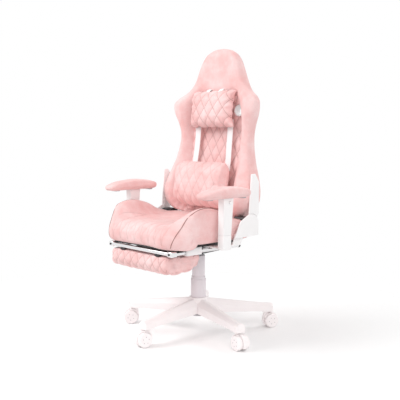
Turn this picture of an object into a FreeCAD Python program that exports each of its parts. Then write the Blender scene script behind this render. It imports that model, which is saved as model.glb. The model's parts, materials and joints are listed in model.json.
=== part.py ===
import FreeCAD, Part
import math
import os

# Swivel armchair with a footrest. Millimetres, +Z up, origin on the floor under the column,
# -Y is the front, +X is the sitter's left.

# ---- named clearances ----
RUN = 0.05            # shaft in its bearing, radial
SLIDE = 0.5           # plastic sleeve over its post or tube
SOFT = 0.4            # upholstery beside a hard piece
FACE = 0.3            # flat faces of different bodies

# ---- star base and casters ----
ARM_COUNT = 5
ARM_TURN = -12.63     # heading of the first arm, degrees
STEM_CIRCLE_R = 306.8
ARM_BEYOND_STEM = 26.2
ARM_END_L = 48.0      # level block at the end of an arm
ARM_END_R = STEM_CIRCLE_R + ARM_BEYOND_STEM
HUB_R = 40.0
HUB_LOW = 84.0
HUB_TOP = 150.0
ARM_END_LOW = 70.2
ARM_END_TOP = 109.0
ARM_ROOT_W = 58.0
ARM_END_W = 38.0
ARM_RIDGE_W = 16.0
CAP_R = 32.0
CAP_T = 14.0
WHEEL_R = 30.0
WHEEL_W = 19.0
WHEEL_GAP = 14.0      # space between the two wheels of a caster
WHEEL_ROUND = 4.0
CASTER_TRAIL = 20.0
CASTER_YAW = (-11.0, 64.0, 120.0, 227.0, 260.0)
AXLE_R = 3.0
STEM_R = 5.5
STEM_LEN = 24.0
COLLAR_R = 13.0
COLLAR_T = 3.0
FORK_T = 12.0
HOOD_T = 3.0
HOOD_GAP = 1.6

# ---- gas column and its telescopic covers ----
LIFT_SET = -16.5      # where the lift stands, from the height it is drawn at
TUBE_R = 25.0
TUBE_WALL = 5.0
TUBE_LOW = HUB_LOW + 6.0
TUBE_TOP = 262.0
GLAND_T = 12.0
ROD_R = 14.0
ROD_LOW = 178.0
ROD_TOP = 385.0
PISTON_T = 12.0
COVER_WALL = 2.0
COVER_SHARE = 0.5     # of the lift travel that the middle cover follows
BASE_NODES = ("star_base", "hub_bottom_cap", "gas_cylinder", "column_cover_lower")
COVER_LOW_TOP = 228.0
COVER_MID_LOW = 196.0
COVER_MID_TOP = 248.0
COVER_UP_LOW = 232.0
COVER_UP_TOP = 348.0
BUTTON_R = 5.0
BUTTON_H = 6.0
BUTTON_SUNK = 4.0
BUTTON_TRAVEL = 3.0

# ---- tilt mechanism ----
HOUSING_HALF_W = 45.0
HOUSING_FRONT = -90.0
HOUSING_REAR = 75.0
HOUSING_LOW = 356.0
HOUSING_TOP_FRONT = 408.0
HOUSING_TOP_REAR = 390.0
TILT_Y = -60.0
TILT_Z = 398.0
TILT_PIN_R = 6.0
EAR_T = 7.0
EAR_R = 13.0
KNOB_R = 26.0
KNOB_H = 26.0
KNOB_Y = -62.0
SCREW_R = 6.0
SPRING_R = 19.0
SPRING_WALL = 5.0
SPRING_H = 24.0
LEVER_R = 5.0
LEVER_SWING = 1.4     # room for the lever to rock in the housing
PIVOT_R = 2.0
PIVOT_X = -39.0
LEVER_Y = -20.0
LEVER_Z = 372.0
LEVER_END_X = -235.0
PADDLE_L = 70.0

# ---- seat ----
PAN_LOW = 428.0
PAN_T = 12.0
PAN_HALF_W = 215.0
PAN_FRONT = -300.0
PAN_REAR = 52.0
PLATE_T = 4.0
PLATE_HALF_W = 90.0
PLATE_FRONT = -130.0
PLATE_REAR = 100.0 - PAN_REAR
BOLT_R = 4.0
BOLT_HEAD_R = 7.5
BOLT_HEAD_H = 5.0
CUSHION_HALF_W = 150.0
CUSHION_TOP = 512.0
CUSHION_FRONT = -332.0
CUSHION_REAR = 60.0
BOLSTER_OUT_X = 250.0
BOLSTER_TOP = 581.0

# ---- recliner and side covers ----
HINGE_Y = 36.0
HINGE_Z = 500.0
LEAN = 6.5            # backrest lean at rest, degrees
BASE_PLATE_X = 258.5
BASE_PLATE_T = 4.0
PLATE_FRONT_Y = -62.0
PLATE_REAR_Y = -16.0
FLANGE_IN_X = 128.0
BOSS_R = 7.0
BOSS_Y = -12.0
ARM_PLATE_T = 4.0
ARM_PLATE_TOP = 640.0
HINGE_DISC_R = 22.0
HINGE_PIN_R = 6.0
COVER_T = 6.5
COVER_GAP_R = 46.0
BLADE_ARC_START = 42.0   # degrees, so that the blade clears the lower cover when reclined
COVER_REAR = 79.0
COVER_LOW_Z = 453.0
BLADE_FRONT_Y = 34.0
BLADE_TOP_Z = 705.0
SYNC_ROD_R = 5.0
SYNC_ROD_Y = 68.0
SYNC_ROD_Z = 468.0
RELEASE_R = 12.0
RELEASE_Y = -20.0
RELEASE_Z = 474.0
RELEASE_L = 78.0

# ---- backrest, in its own upright frame with the hinge line as origin ----
BACK_LOW = 28.0
SEAM_X = 96.0         # half width of the centre panel
HEAD_LOW = 566.0
BACK_TOP = 737.0
FRAME_X = 172.0
FRAME_Y = 30.0
FRAME_R = 9.0
FRAME_TOP = 520.0
FRAME_CROSS_Z = 430.0
FRAME_ROD_Y = 20.0
FRAME_ROD_Z = 110.0
HOLE_X = 125.0
HOLE_Z = 471.0
HOLE_RX = 27.0
HOLE_RZ = 25.0
HOLE_WALL = 5.0
HOLE_FRONT = 2.0
HOLE_REAR = 62.0
STRAP_X = 105.0
STRAP_W = 26.0
STRAP_T = 1.2
# height and rear face of a strap, from behind one pillow to behind the other
STRAP_PATH = ((200.0, 0.4), (259.0, 5.3), (317.0, 8.1), (386.0, 10.5), (440.0, 5.6))

# height, half width, front of the ridge, rear at the edge, front and rear at the seam
WING_SECTIONS = (
    (BACK_LOW, 205.0, -18.0, 54.0, 0.5, 68.0), (56.0, 236.0, -36.0, 58.0, 1.0, 71.0),
    (100.0, 260.0, -46.0, 60.0, 3.0, 74.0),
    (176.0, 250.0, -35.0, 60.0, 8.0, 75.0),
    (259.0, 225.0, -13.0, 56.0, 12.0, 76.0),
    (317.0, 213.0, -6.0, 52.0, 14.5, 77.0),
    (386.0, 215.0, -3.0, 45.0, 16.5, 74.0),
    (461.0, 243.0, -28.0, 30.0, 13.0, 71.0),
    (504.0, 246.0, -33.0, 24.0, 11.0, 69.0),
    (535.0, 205.0, -18.0, 40.0, 8.0, 66.0),
    (HEAD_LOW, 160.0, -4.0, 52.0, 4.5, 64.0),
)
# height, front, rear of the centre panel and head
PANEL_PROFILE = (
    (BACK_LOW, 0.0, 68.0), (100.0, 3.0, 74.0), (176.0, 8.0, 75.0), (317.0, 14.5, 77.0),
    (386.0, 16.5, 74.0), (461.0, 13.0, 71.0), (504.0, 11.0, 69.0), (HEAD_LOW, 4.5, 64.0),
)
# height, half width, front, rear of the head
HEAD_SECTIONS = (
    (HEAD_LOW + 0.2, 160.0, 4.0, 64.0), (585.0, 149.0, 1.0, 62.0), (650.0, 119.0, -5.0, 55.0),
    (705.0, 86.0, -3.0, 46.0), (728.0, 58.0, 4.0, 40.0), (BACK_TOP, 36.0, 12.0, 34.0),
)

# ---- pillows, in the backrest frame ----
LUMBAR_LOW = 52.0
LUMBAR_TOP = 246.0
LUMBAR_HALF_W = 146.0
LUMBAR_FRONT = -88.0
LUMBAR_REAR = 2.1
LUMBAR_REAR_HALF_W = 84.0
LUMBAR_WAIST = -32.0  # where the pillow is widest
HEAD_PAD_LOW = 392.0
HEAD_PAD_TOP = 555.0
HEAD_PAD_HALF_W = 128.0
HEAD_PAD_FRONT = -48.0
HEAD_PAD_REAR = 8.6
HEAD_PAD_REAR_HALF_W = 80.0
HEAD_PAD_WAIST = -14.0

# ---- armrests ----
ARM_X = 290.0
POST_Y = -134.0
SLEEVE_LOW = 477.0
SLEEVE_TOP = 620.0
SLEEVE_LOW_L = 42.0
SLEEVE_TOP_L = 54.0
SLEEVE_W = 30.0
SOCKET_L = 44.0
SOCKET_W = 32.0
SOCKET_LOW = 420.0
POST_L = 32.0
POST_W = 20.0
POST_TOP = 600.0
BAR_T = 7.0
BAR_IN_X = 110.0
BAR_FRONT = POST_Y - 16.0
BAR_REAR = POST_Y + 16.0
PAD_FRONT = -268.0
PAD_REAR = -8.0
PAD_W = 86.0
PAD_TOP_MID = 665.0
PAD_TOP_FRONT = 636.0
PAD_TOP_REAR = 647.0
ARM_BUTTON_R = 6.0
ARM_BUTTON_Y = POST_Y + 14.0
ARM_BUTTON_Z = 603.0

# ---- footrest ----
RAIL_X = 188.0
RAIL_Z = 408.0
RAIL_R = 9.0
RAIL_FRONT = -316.0
RAIL_REAR = 47.0
END_CAP_T = 6.0
GUIDE_FRONT = -250.0
GUIDE_REAR = -172.0
GUIDE_HALF_W = 15.0
GUIDE_LOW = 396.0
CLIP_X = 110.0
CLIP_W = 30.0
CLIP_R = 13.0
FOOT_HALF_W = 178.0
FOOT_FRONT = -338.0
FOOT_REAR = -150.0
FOOT_LOW = 322.0


def box(x0, x1, y0, y1, z0, z1):
    return Part.makeBox(x1 - x0, y1 - y0, z1 - z0, FreeCAD.Vector(x0, y0, z0))


def rod(radius, start, end):
    line = FreeCAD.Vector(*end).sub(FreeCAD.Vector(*start))
    return Part.makeCylinder(radius, line.Length, FreeCAD.Vector(*start), line)


def tube(outer, inner, low, top):
    return rod(outer, (0, 0, low), (0, 0, top)).cut(rod(inner, (0, 0, low - 1), (0, 0, top + 1)))


def closed_wire(points):
    vectors = [FreeCAD.Vector(*p) for p in points]
    return Part.makePolygon(vectors + [vectors[0]])


def slab_x(points_yz, x0, x1):
    """Outline in the YZ plane, carried from x0 to x1."""
    face = Part.Face(closed_wire([(x0, y, z) for y, z in points_yz]))
    return face.extrude(FreeCAD.Vector(x1 - x0, 0, 0))


def loft(sections):
    return Part.makeLoft([closed_wire(points) for points in sections], True, True)


def rounded(shape, radius):
    """Round every edge of a soft block."""
    return shape.makeFillet(radius, shape.Edges)


def mirrored(shape):
    return shape.mirror(FreeCAD.Vector(0, 0, 0), FreeCAD.Vector(1, 0, 0))


def turned(shape, degrees):
    turned_shape = shape.copy()
    turned_shape.rotate(FreeCAD.Vector(0, 0, 0), FreeCAD.Vector(0, 0, 1), degrees)
    return turned_shape


def leaned(shape):
    """From the backrest's upright frame to its place on the chair."""
    placed = shape.copy()
    placed.rotate(FreeCAD.Vector(0, 0, 0), FreeCAD.Vector(1, 0, 0), -LEAN)
    placed.translate(FreeCAD.Vector(0, HINGE_Y, HINGE_Z))
    return placed


def save(name, *solids):
    """Write a node, with what the lift carries at the height that the lift is set to."""
    shape = solids[0] if len(solids) == 1 else Part.makeCompound(list(solids))
    stands_still = name.startswith("caster") or name in BASE_NODES
    rise = 0.0 if stands_still else LIFT_SET * COVER_SHARE if name == "column_cover_middle" else LIFT_SET
    placed = shape.copy()
    placed.translate(FreeCAD.Vector(0, 0, rise))
    placed.exportStep("parts/" + name + ".step")


# ---- star base ----
def arm_section(r, width, low, shoulder, top):
    return [(r, -width / 2, low), (r, width / 2, low), (r, width / 2, shoulder),
            (r, ARM_RIDGE_W / 2, top), (r, -ARM_RIDGE_W / 2, top), (r, -width / 2, shoulder)]


def star_base():
    root = arm_section(12.0, ARM_ROOT_W, HUB_LOW + 1, HUB_TOP - 30, HUB_TOP - 3)
    knee = arm_section(ARM_END_R - ARM_END_L, ARM_END_W, ARM_END_LOW + 4, ARM_END_TOP - 12, ARM_END_TOP)
    end = arm_section(ARM_END_R, ARM_END_W, ARM_END_LOW, ARM_END_TOP - 14, ARM_END_TOP - 4)
    foot_front = arm_section(ARM_END_R - ARM_END_L, ARM_END_W, ARM_END_LOW, ARM_END_TOP - 12, ARM_END_TOP)
    arm = loft([root, knee]).fuse(loft([foot_front, end]))
    base = rod(HUB_R, (0, 0, HUB_LOW), (0, 0, HUB_TOP))
    for k in range(ARM_COUNT):
        base = base.fuse(turned(arm, ARM_TURN + 360.0 / ARM_COUNT * k))
    bore = rod(TUBE_R + RUN, (0, 0, HUB_LOW - 5), (0, 0, HUB_TOP + 5))
    base = base.cut(bore)
    for k in range(ARM_COUNT):
        socket = rod(STEM_R + RUN, (STEM_CIRCLE_R, 0, ARM_END_LOW - 5),
                     (STEM_CIRCLE_R, 0, ARM_END_LOW + STEM_LEN + 1))
        base = base.cut(turned(socket, ARM_TURN + 360.0 / ARM_COUNT * k))
    save("star_base", base.removeSplitter())
    save("hub_bottom_cap", rod(CAP_R, (0, 0, HUB_LOW - CAP_T), (0, 0, HUB_LOW)))


# ---- casters ----
def caster(k):
    heading = math.radians(ARM_TURN + 360.0 / ARM_COUNT * k)
    stem_at = FreeCAD.Vector(STEM_CIRCLE_R * math.cos(heading), STEM_CIRCLE_R * math.sin(heading), 0)

    def place(shape):
        placed = turned(shape, CASTER_YAW[k])
        placed.translate(stem_at)
        return placed

    # local frame: the stem stands on the origin, the axle is parallel to Y at x = trail
    axle_x = CASTER_TRAIL
    outer = WHEEL_R + HOOD_GAP + HOOD_T
    half_fork = FORK_T / 2
    stem_top = ARM_END_LOW + STEM_LEN
    collar_low = ARM_END_LOW - FACE - COLLAR_T
    web = rod(outer, (axle_x, -half_fork, WHEEL_R), (axle_x, half_fork, WHEEL_R))
    web = web.common(box(axle_x - outer, axle_x + outer, -half_fork, half_fork, 12, 80))
    neck = box(-10, 10, -half_fork, half_fork, WHEEL_R, collar_low)
    hood = rod(outer, (axle_x, -20, WHEEL_R), (axle_x, 20, WHEEL_R))
    hood = hood.cut(rod(outer - HOOD_T, (axle_x, -30, WHEEL_R), (axle_x, 30, WHEEL_R)))
    hood = hood.common(box(axle_x - outer, axle_x + 5, -20, 20, WHEEL_R + 14, 80))
    body = web.fuse([neck, hood])
    body = body.cut(box(-60, 60, -30, 30, collar_low, 90))
    body = body.fuse([rod(COLLAR_R, (0, 0, collar_low), (0, 0, collar_low + COLLAR_T)),
                      rod(STEM_R, (0, 0, collar_low), (0, 0, stem_top))])
    body = body.cut(rod(AXLE_R + RUN, (axle_x, -30, WHEEL_R), (axle_x, 30, WHEEL_R)))
    save("caster_%d_housing" % (k + 1), place(body))

    wheels = rod(AXLE_R, (axle_x, -WHEEL_GAP / 2 - 5, WHEEL_R), (axle_x, WHEEL_GAP / 2 + 5, WHEEL_R))
    for side in (-1, 1):
        inner_y = side * WHEEL_GAP / 2
        disc = rod(WHEEL_R, (axle_x, inner_y, WHEEL_R), (axle_x, inner_y + side * WHEEL_W, WHEEL_R))
        rims = [e for e in disc.Edges if isinstance(e.Curve, Part.Circle)]
        wheels = wheels.fuse(disc.makeFillet(WHEEL_ROUND, rims))
    save("caster_%d_wheels" % (k + 1), place(wheels))


# ---- gas column ----
def column():
    bore_r = TUBE_R - TUBE_WALL
    cylinder = rod(TUBE_R, (0, 0, HUB_LOW), (0, 0, TUBE_TOP))
    cylinder = cylinder.cut(rod(bore_r, (0, 0, TUBE_LOW), (0, 0, TUBE_TOP - GLAND_T)))
    cylinder = cylinder.cut(rod(ROD_R + RUN, (0, 0, TUBE_LOW), (0, 0, TUBE_TOP + 1)))
    save("gas_cylinder", cylinder)
    head = rod(bore_r - RUN, (0, 0, ROD_LOW), (0, 0, ROD_LOW + PISTON_T))
    piston = head.fuse(rod(ROD_R, (0, 0, ROD_LOW), (0, 0, ROD_TOP)))
    valve_low = ROD_TOP - BUTTON_SUNK
    valve_room = rod(BUTTON_R + RUN, (0, 0, valve_low - BUTTON_TRAVEL - 1), (0, 0, ROD_TOP + 1))
    save("gas_piston", piston.cut(valve_room))
    up_in = TUBE_R + SLIDE
    mid_in = up_in + COVER_WALL + SLIDE
    low_in = mid_in + COVER_WALL + SLIDE
    save("column_cover_upper", cover_with_roof(up_in, COVER_UP_LOW, COVER_UP_TOP))
    save("column_cover_middle", tube(mid_in + COVER_WALL, mid_in, COVER_MID_LOW, COVER_MID_TOP))
    save("column_cover_lower", tube(low_in + COVER_WALL, low_in, HUB_TOP, COVER_LOW_TOP))
    save("release_button", rod(BUTTON_R, (0, 0, valve_low), (0, 0, ROD_TOP + BUTTON_H)))


def cover_with_roof(inner, low, top):
    shell = tube(inner + COVER_WALL, inner, low, top)
    roof = tube(inner + COVER_WALL, ROD_R + FACE, top - COVER_WALL, top)
    return shell.fuse(roof)


# ---- tilt mechanism ----
def mechanism():
    outline = [(HOUSING_FRONT, HOUSING_LOW), (HOUSING_REAR, HOUSING_LOW + 8),
               (HOUSING_REAR, HOUSING_TOP_REAR), (20, HOUSING_TOP_FRONT - 4),
               (HOUSING_FRONT, HOUSING_TOP_FRONT)]
    housing = slab_x(outline, -HOUSING_HALF_W, HOUSING_HALF_W)
    button_room = ROD_TOP + BUTTON_H + 4
    spring_low = HOUSING_LOW + 4
    spring_top = spring_low + SPRING_H
    ear_span = HOUSING_HALF_W + FACE + EAR_T + 4
    housing = housing.cut([
        rod(ROD_R + RUN, (0, 0, HOUSING_LOW - 1), (0, 0, ROD_TOP)),
        rod(BUTTON_R + SLIDE, (0, 0, ROD_TOP - 1), (0, 0, button_room)),
        rod(SPRING_R + SLIDE, (0, KNOB_Y, spring_low), (0, KNOB_Y, spring_top + SLIDE)),
        rod(SCREW_R + RUN, (0, KNOB_Y, HOUSING_LOW - 1), (0, KNOB_Y, spring_top + SLIDE)),
        rod(TILT_PIN_R, (-ear_span, TILT_Y, TILT_Z), (ear_span, TILT_Y, TILT_Z)),
        rod(LEVER_R + LEVER_SWING, (-HOUSING_HALF_W - 1, LEVER_Y, LEVER_Z),
            (-HOUSING_HALF_W + 16, LEVER_Y, LEVER_Z)),
    ])
    pivot_ends = [(PIVOT_X, LEVER_Y + side * (LEVER_R + 5), LEVER_Z) for side in (-1, 1)]
    save("tilt_housing", housing.fuse(rod(PIVOT_R, *pivot_ends)))
    save("tilt_pin", rod(TILT_PIN_R, (-ear_span, TILT_Y, TILT_Z), (ear_span, TILT_Y, TILT_Z)))
    spring = rod(SPRING_R, (0, KNOB_Y, spring_low), (0, KNOB_Y, spring_top))
    spring = spring.cut(rod(SPRING_R - SPRING_WALL, (0, KNOB_Y, 0), (0, KNOB_Y, 500)))
    save("tension_spring", spring)
    knob_top = HOUSING_LOW - SLIDE
    knob = rod(KNOB_R, (0, KNOB_Y, knob_top - KNOB_H), (0, KNOB_Y, knob_top))
    for k in range(8):
        angle = math.pi / 4 * k
        notch_x = (KNOB_R + 2) * math.cos(angle)
        notch_y = KNOB_Y + (KNOB_R + 2) * math.sin(angle)
        knob = knob.cut(rod(5, (notch_x, notch_y, 0), (notch_x, notch_y, 500)))
    knob = knob.fuse(rod(SCREW_R, (0, KNOB_Y, knob_top - 4), (0, KNOB_Y, spring_top)))
    save("tension_knob", knob)
    lever = rod(LEVER_R, (-HOUSING_HALF_W + 12, LEVER_Y, LEVER_Z), (LEVER_END_X, LEVER_Y, LEVER_Z))
    lever = lever.cut(rod(PIVOT_R + RUN, *pivot_ends))
    paddle = box(LEVER_END_X - PADDLE_L, LEVER_END_X + 4, LEVER_Y - 16, LEVER_Y + 16,
                 LEVER_Z - 6, LEVER_Z + 6)
    save("lift_lever", lever.fuse(rounded(paddle, 5)))


# ---- seat ----
def tilt_plate():
    top = box(-PLATE_HALF_W, PLATE_HALF_W, PLATE_FRONT, PLATE_REAR, PAN_LOW - PLATE_T, PAN_LOW)
    inner_x = HOUSING_HALF_W + FACE
    top = top.cut(box(-inner_x, inner_x, HOUSING_FRONT - 8, PLATE_REAR - 8, 0, 500))
    plate = top
    for side in (-1, 1):
        x0 = side * inner_x
        x1 = side * (inner_x + EAR_T)
        ear = rod(EAR_R, (x0, TILT_Y, TILT_Z), (x1, TILT_Y, TILT_Z))
        web = box(min(x0, x1), max(x0, x1), TILT_Y - EAR_R, TILT_Y + EAR_R, TILT_Z, PAN_LOW)
        plate = plate.fuse([ear, web])
    bores = [rod(BOLT_R, (x, y, PAN_LOW - PLATE_T - 1), (x, y, PAN_LOW + 1)) for x, y in bolt_places()]
    bores.append(rod(TILT_PIN_R + RUN, (-90, TILT_Y, TILT_Z), (90, TILT_Y, TILT_Z)))
    save("tilt_plate", plate.cut(bores))


def bolt_places():
    return [(x, y) for x in (-72.0, 72.0) for y in (PLATE_FRONT + 14, PLATE_REAR - 12)]


def seat_structure():
    pan = box(-PAN_HALF_W, PAN_HALF_W, PAN_FRONT, PAN_REAR, PAN_LOW, PAN_LOW + PAN_T)
    corners = [e for e in pan.Edges if abs(e.Vertexes[0].Z - e.Vertexes[1].Z) > 1]
    pan = pan.makeFillet(25, corners)
    bolts = []
    for x, y in bolt_places():
        pan = pan.cut(rod(BOLT_R, (x, y, PAN_LOW - 1), (x, y, PAN_LOW + PAN_T - 2)))
        low = PAN_LOW - PLATE_T
        head = rod(BOLT_HEAD_R, (x, y, low - BOLT_HEAD_H), (x, y, low))
        bolts.append(head.fuse(rod(BOLT_R, (x, y, low), (x, y, PAN_LOW + PAN_T - 2))))
    save("seat_pan", pan)
    save("seat_bolts", *bolts)


def seat_cushion():
    low = PAN_LOW + PAN_T
    profile = [(CUSHION_FRONT + 14, low), (CUSHION_FRONT, low + 22), (CUSHION_FRONT + 4, low + 48),
               (CUSHION_FRONT + 30, CUSHION_TOP - 2), (CUSHION_FRONT + 80, CUSHION_TOP),
               (-120, CUSHION_TOP - 6), (CUSHION_REAR, CUSHION_TOP - 8), (CUSHION_REAR, low)]
    save("seat_cushion", slab_x(profile, -CUSHION_HALF_W + SOFT / 2, CUSHION_HALF_W - SOFT / 2))


def seat_bolster():
    low = PAN_LOW + PAN_T
    in_x = CUSHION_HALF_W + SOFT / 2
    ridge = BOLSTER_TOP
    seat_line = CUSHION_TOP - 6
    # y, height of the ridge, height of the inner edge
    stations = [(CUSHION_FRONT + 2, low + 34, low + 26), (-312, 520, 490), (-280, 552, seat_line),
                (-225, ridge - 3, seat_line), (-165, ridge, seat_line), (-100, 566, seat_line),
                (-56, 541, seat_line - 2), (-20, 521, seat_line - 4), (CUSHION_REAR, 506, seat_line - 6)]
    sections = []
    for y, top, inner in stations:
        sections.append([(in_x, y, low), (BOLSTER_OUT_X - 8, y, low), (BOLSTER_OUT_X, y, low + 20),
                         (BOLSTER_OUT_X - 4, y, top - 12), (BOLSTER_OUT_X - 22, y, top),
                         (BOLSTER_OUT_X - 52, y, top - 8), (in_x, y, inner)])
    bolster = loft(sections)
    save("seat_bolster_left", bolster)
    save("seat_bolster_right", mirrored(bolster))


# ---- recliner, side covers ----
def hinge_arc(radius, start_deg, end_deg, steps=6):
    points = []
    for i in range(steps + 1):
        angle = math.radians(start_deg + (end_deg - start_deg) * i / steps)
        points.append((HINGE_Y + radius * math.cos(angle), HINGE_Z + radius * math.sin(angle)))
    return points


def side_pieces():
    plate_out = BASE_PLATE_X + BASE_PLATE_T
    arm_in = plate_out + FACE
    arm_out = arm_in + ARM_PLATE_T
    cover_in = arm_out + FACE
    cover_out = cover_in + COVER_T
    pin = rod(HINGE_PIN_R, (BASE_PLATE_X - 6, HINGE_Y, HINGE_Z), (arm_out, HINGE_Y, HINGE_Z))
    flange_low = PAN_LOW - PLATE_T
    plate = slab_x([(PLATE_FRONT_Y, flange_low), (PLATE_REAR_Y, flange_low), (0, COVER_LOW_Z + 3),
                    (COVER_REAR, COVER_LOW_Z + 5), (COVER_REAR, SYNC_ROD_Z + 8), (14, HINGE_Z - 16),
                    (-45, HINGE_Z - 30)], BASE_PLATE_X, plate_out)
    disc = rod(HINGE_DISC_R, (BASE_PLATE_X, HINGE_Y, HINGE_Z), (plate_out, HINGE_Y, HINGE_Z))
    flange = box(FLANGE_IN_X, plate_out, PLATE_FRONT_Y, PLATE_REAR_Y, flange_low, PAN_LOW)
    boss = rod(BOSS_R, (plate_out, BOSS_Y, RELEASE_Z), (cover_in, BOSS_Y, RELEASE_Z))
    base = plate.fuse([disc, flange, boss, pin])
    sync_x = BASE_PLATE_X + BASE_PLATE_T / 2
    base = base.cut(rod(SYNC_ROD_R + RUN, (200, SYNC_ROD_Y, SYNC_ROD_Z), (sync_x, SYNC_ROD_Y, SYNC_ROD_Z)))
    save("recliner_bases", base, mirrored(base))
    save("sync_rod", rod(SYNC_ROD_R, (-sync_x, SYNC_ROD_Y, SYNC_ROD_Z), (sync_x, SYNC_ROD_Y, SYNC_ROD_Z)))

    front_angle = 107.0
    rear_low = math.degrees(math.acos((COVER_REAR - HINGE_Y) / COVER_GAP_R))
    low_cover = [(-60, COVER_LOW_Z), (COVER_REAR, COVER_LOW_Z + 4)]
    low_cover += hinge_arc(COVER_GAP_R - 0.6, rear_low, front_angle)
    low_cover += [(-26, HINGE_Z + 18)]
    lower = slab_x(low_cover, cover_in, cover_out)
    save("side_cover_lower_left", lower)
    save("side_cover_lower_right", mirrored(lower))

    blade = hinge_arc(COVER_GAP_R, BLADE_ARC_START, front_angle)
    blade += [(BLADE_FRONT_Y, BLADE_TOP_Z), (COVER_REAR - 22, BLADE_TOP_Z + 2),
              (COVER_REAR, BLADE_TOP_Z - 32), (COVER_REAR, HINGE_Z + COVER_GAP_R)]
    upper = slab_x(blade, cover_in, cover_out)
    save("side_cover_upper_left", upper)
    save("side_cover_upper_right", mirrored(upper))

    arm_disc = rod(HINGE_DISC_R, (arm_in, HINGE_Y, HINGE_Z), (arm_out, HINGE_Y, HINGE_Z))
    arm = arm_disc.fuse(slab_x([(HINGE_Y - 12, HINGE_Z + 10), (HINGE_Y + 18, HINGE_Z + 10),
                                (COVER_REAR - 1, HINGE_Z + 70), (COVER_REAR - 1, ARM_PLATE_TOP),
                                (COVER_REAR - 40, ARM_PLATE_TOP)], arm_in, arm_out))
    arm = arm.cut(rod(HINGE_PIN_R + RUN, (arm_in - 1, HINGE_Y, HINGE_Z), (arm_out + 1, HINGE_Y, HINGE_Z)))
    save("recliner_arms", arm, mirrored(arm))

    lever_x = -cover_out - FACE
    hub = rod(RELEASE_R, (lever_x, RELEASE_Y, RELEASE_Z), (lever_x - 9, RELEASE_Y, RELEASE_Z))
    grip = box(lever_x - 9, lever_x, RELEASE_Y - RELEASE_L, RELEASE_Y, RELEASE_Z - 8, RELEASE_Z + 8)
    save("recline_lever", hub.fuse(grip))
    return arm_in


# ---- backrest ----
def hole_prism(grow):
    ellipse = Part.Ellipse(FreeCAD.Vector(0, 0, 0), HOLE_RX + grow, HOLE_RZ + grow)
    face = Part.Face(Part.Wire(ellipse.toShape()))
    face.rotate(FreeCAD.Vector(0, 0, 0), FreeCAD.Vector(1, 0, 0), 90)
    return face, FreeCAD.Vector(HOLE_X, 0, HOLE_Z)


def hole_solid(grow, front, rear):
    face, at = hole_prism(grow)
    face.translate(FreeCAD.Vector(at.x, front, at.z))
    return face.extrude(FreeCAD.Vector(0, rear - front, 0))


def frame_tubes(grow, arm_in):
    r = FRAME_R + grow
    tubes = []
    for side in (-1, 1):
        tubes.append(rod(r, (side * FRAME_X, FRAME_Y, 60), (side * FRAME_X, FRAME_Y, FRAME_TOP)))
    tubes.append(rod(r - 1, (-arm_in, FRAME_ROD_Y, FRAME_ROD_Z), (arm_in, FRAME_ROD_Y, FRAME_ROD_Z)))
    tubes.append(rod(r - 1, (-FRAME_X, FRAME_Y, FRAME_CROSS_Z), (FRAME_X, FRAME_Y, FRAME_CROSS_Z)))
    return tubes


def backrest(arm_in):
    tubes = frame_tubes(0, arm_in)
    room = frame_tubes(SOFT, arm_in)
    save("back_frame", leaned(tubes[0].fuse(tubes[1:])))

    sections = []
    for z, half, ridge, edge_rear, seam_front, seam_rear in WING_SECTIONS:
        x_in = SEAM_X + SOFT / 2
        sections.append([(x_in, seam_front, z), (min(half - 42, 200), ridge, z),
                         (half - 12, ridge + 8, z), (half, (ridge + edge_rear) / 2, z),
                         (half - 10, edge_rear, z), (x_in, seam_rear, z)])
    wing = loft(sections)
    wing = wing.cut(hole_solid(0, -80, 120)).cut(room)
    save("back_wing_left", leaned(wing))
    save("back_wing_right", leaned(mirrored(wing)))

    fronts = [(front, z) for z, front, rear in PANEL_PROFILE]
    rears = [(rear, z) for z, front, rear in reversed(PANEL_PROFILE)]
    panel = slab_x(fronts + rears, -SEAM_X, SEAM_X).cut(room)
    save("back_panel", leaned(panel))

    heads = []
    for z, half, front, rear in HEAD_SECTIONS:
        heads.append([(-half + 14, front, z), (half - 14, front, z), (half, (front + rear) / 2, z),
                      (half - 12, rear, z), (-half + 12, rear, z), (-half, (front + rear) / 2, z)])
    save("back_head", leaned(loft(heads)))

    ring = hole_solid(-SOFT, HOLE_FRONT, HOLE_REAR).cut(hole_solid(-HOLE_WALL, HOLE_FRONT - 1, HOLE_REAR + 1))
    save("shoulder_bezels", leaned(ring), leaned(mirrored(ring)))
    strap_rear = [(rear, z) for z, rear in STRAP_PATH]
    strap_front = [(rear - STRAP_T, z) for z, rear in reversed(STRAP_PATH)]
    strap = slab_x(strap_rear + strap_front, STRAP_X - STRAP_W / 2, STRAP_X + STRAP_W / 2)
    save("pillow_straps", leaned(strap), leaned(mirrored(strap)))


def pillow(name, low, top, half, rear_half, front, rear, waist):
    """Wedge-backed cushion: narrow where it fits between the wings, wide in front of them."""
    sections = []
    for z, shrink in ((low, 22), (low + 26, 3), ((low + top) / 2, 0), (top - 26, 3), (top, 22)):
        sections.append([(-rear_half + shrink, rear - shrink * 0.2, z), (-half + shrink, waist, z),
                         (-half + 8 + shrink, front + 26, z), (-half + 44 + shrink, front + shrink, z),
                         (half - 44 - shrink, front + shrink, z), (half - 8 - shrink, front + 26, z),
                         (half - shrink, waist, z), (rear_half - shrink, rear - shrink * 0.2, z)])
    save(name, leaned(loft(sections)))


# ---- armrests ----
def rect_section(length, width, z, y=POST_Y):
    return [(ARM_X - width / 2, y - length / 2, z), (ARM_X + width / 2, y - length / 2, z),
            (ARM_X + width / 2, y + length / 2, z), (ARM_X - width / 2, y + length / 2, z)]


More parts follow.
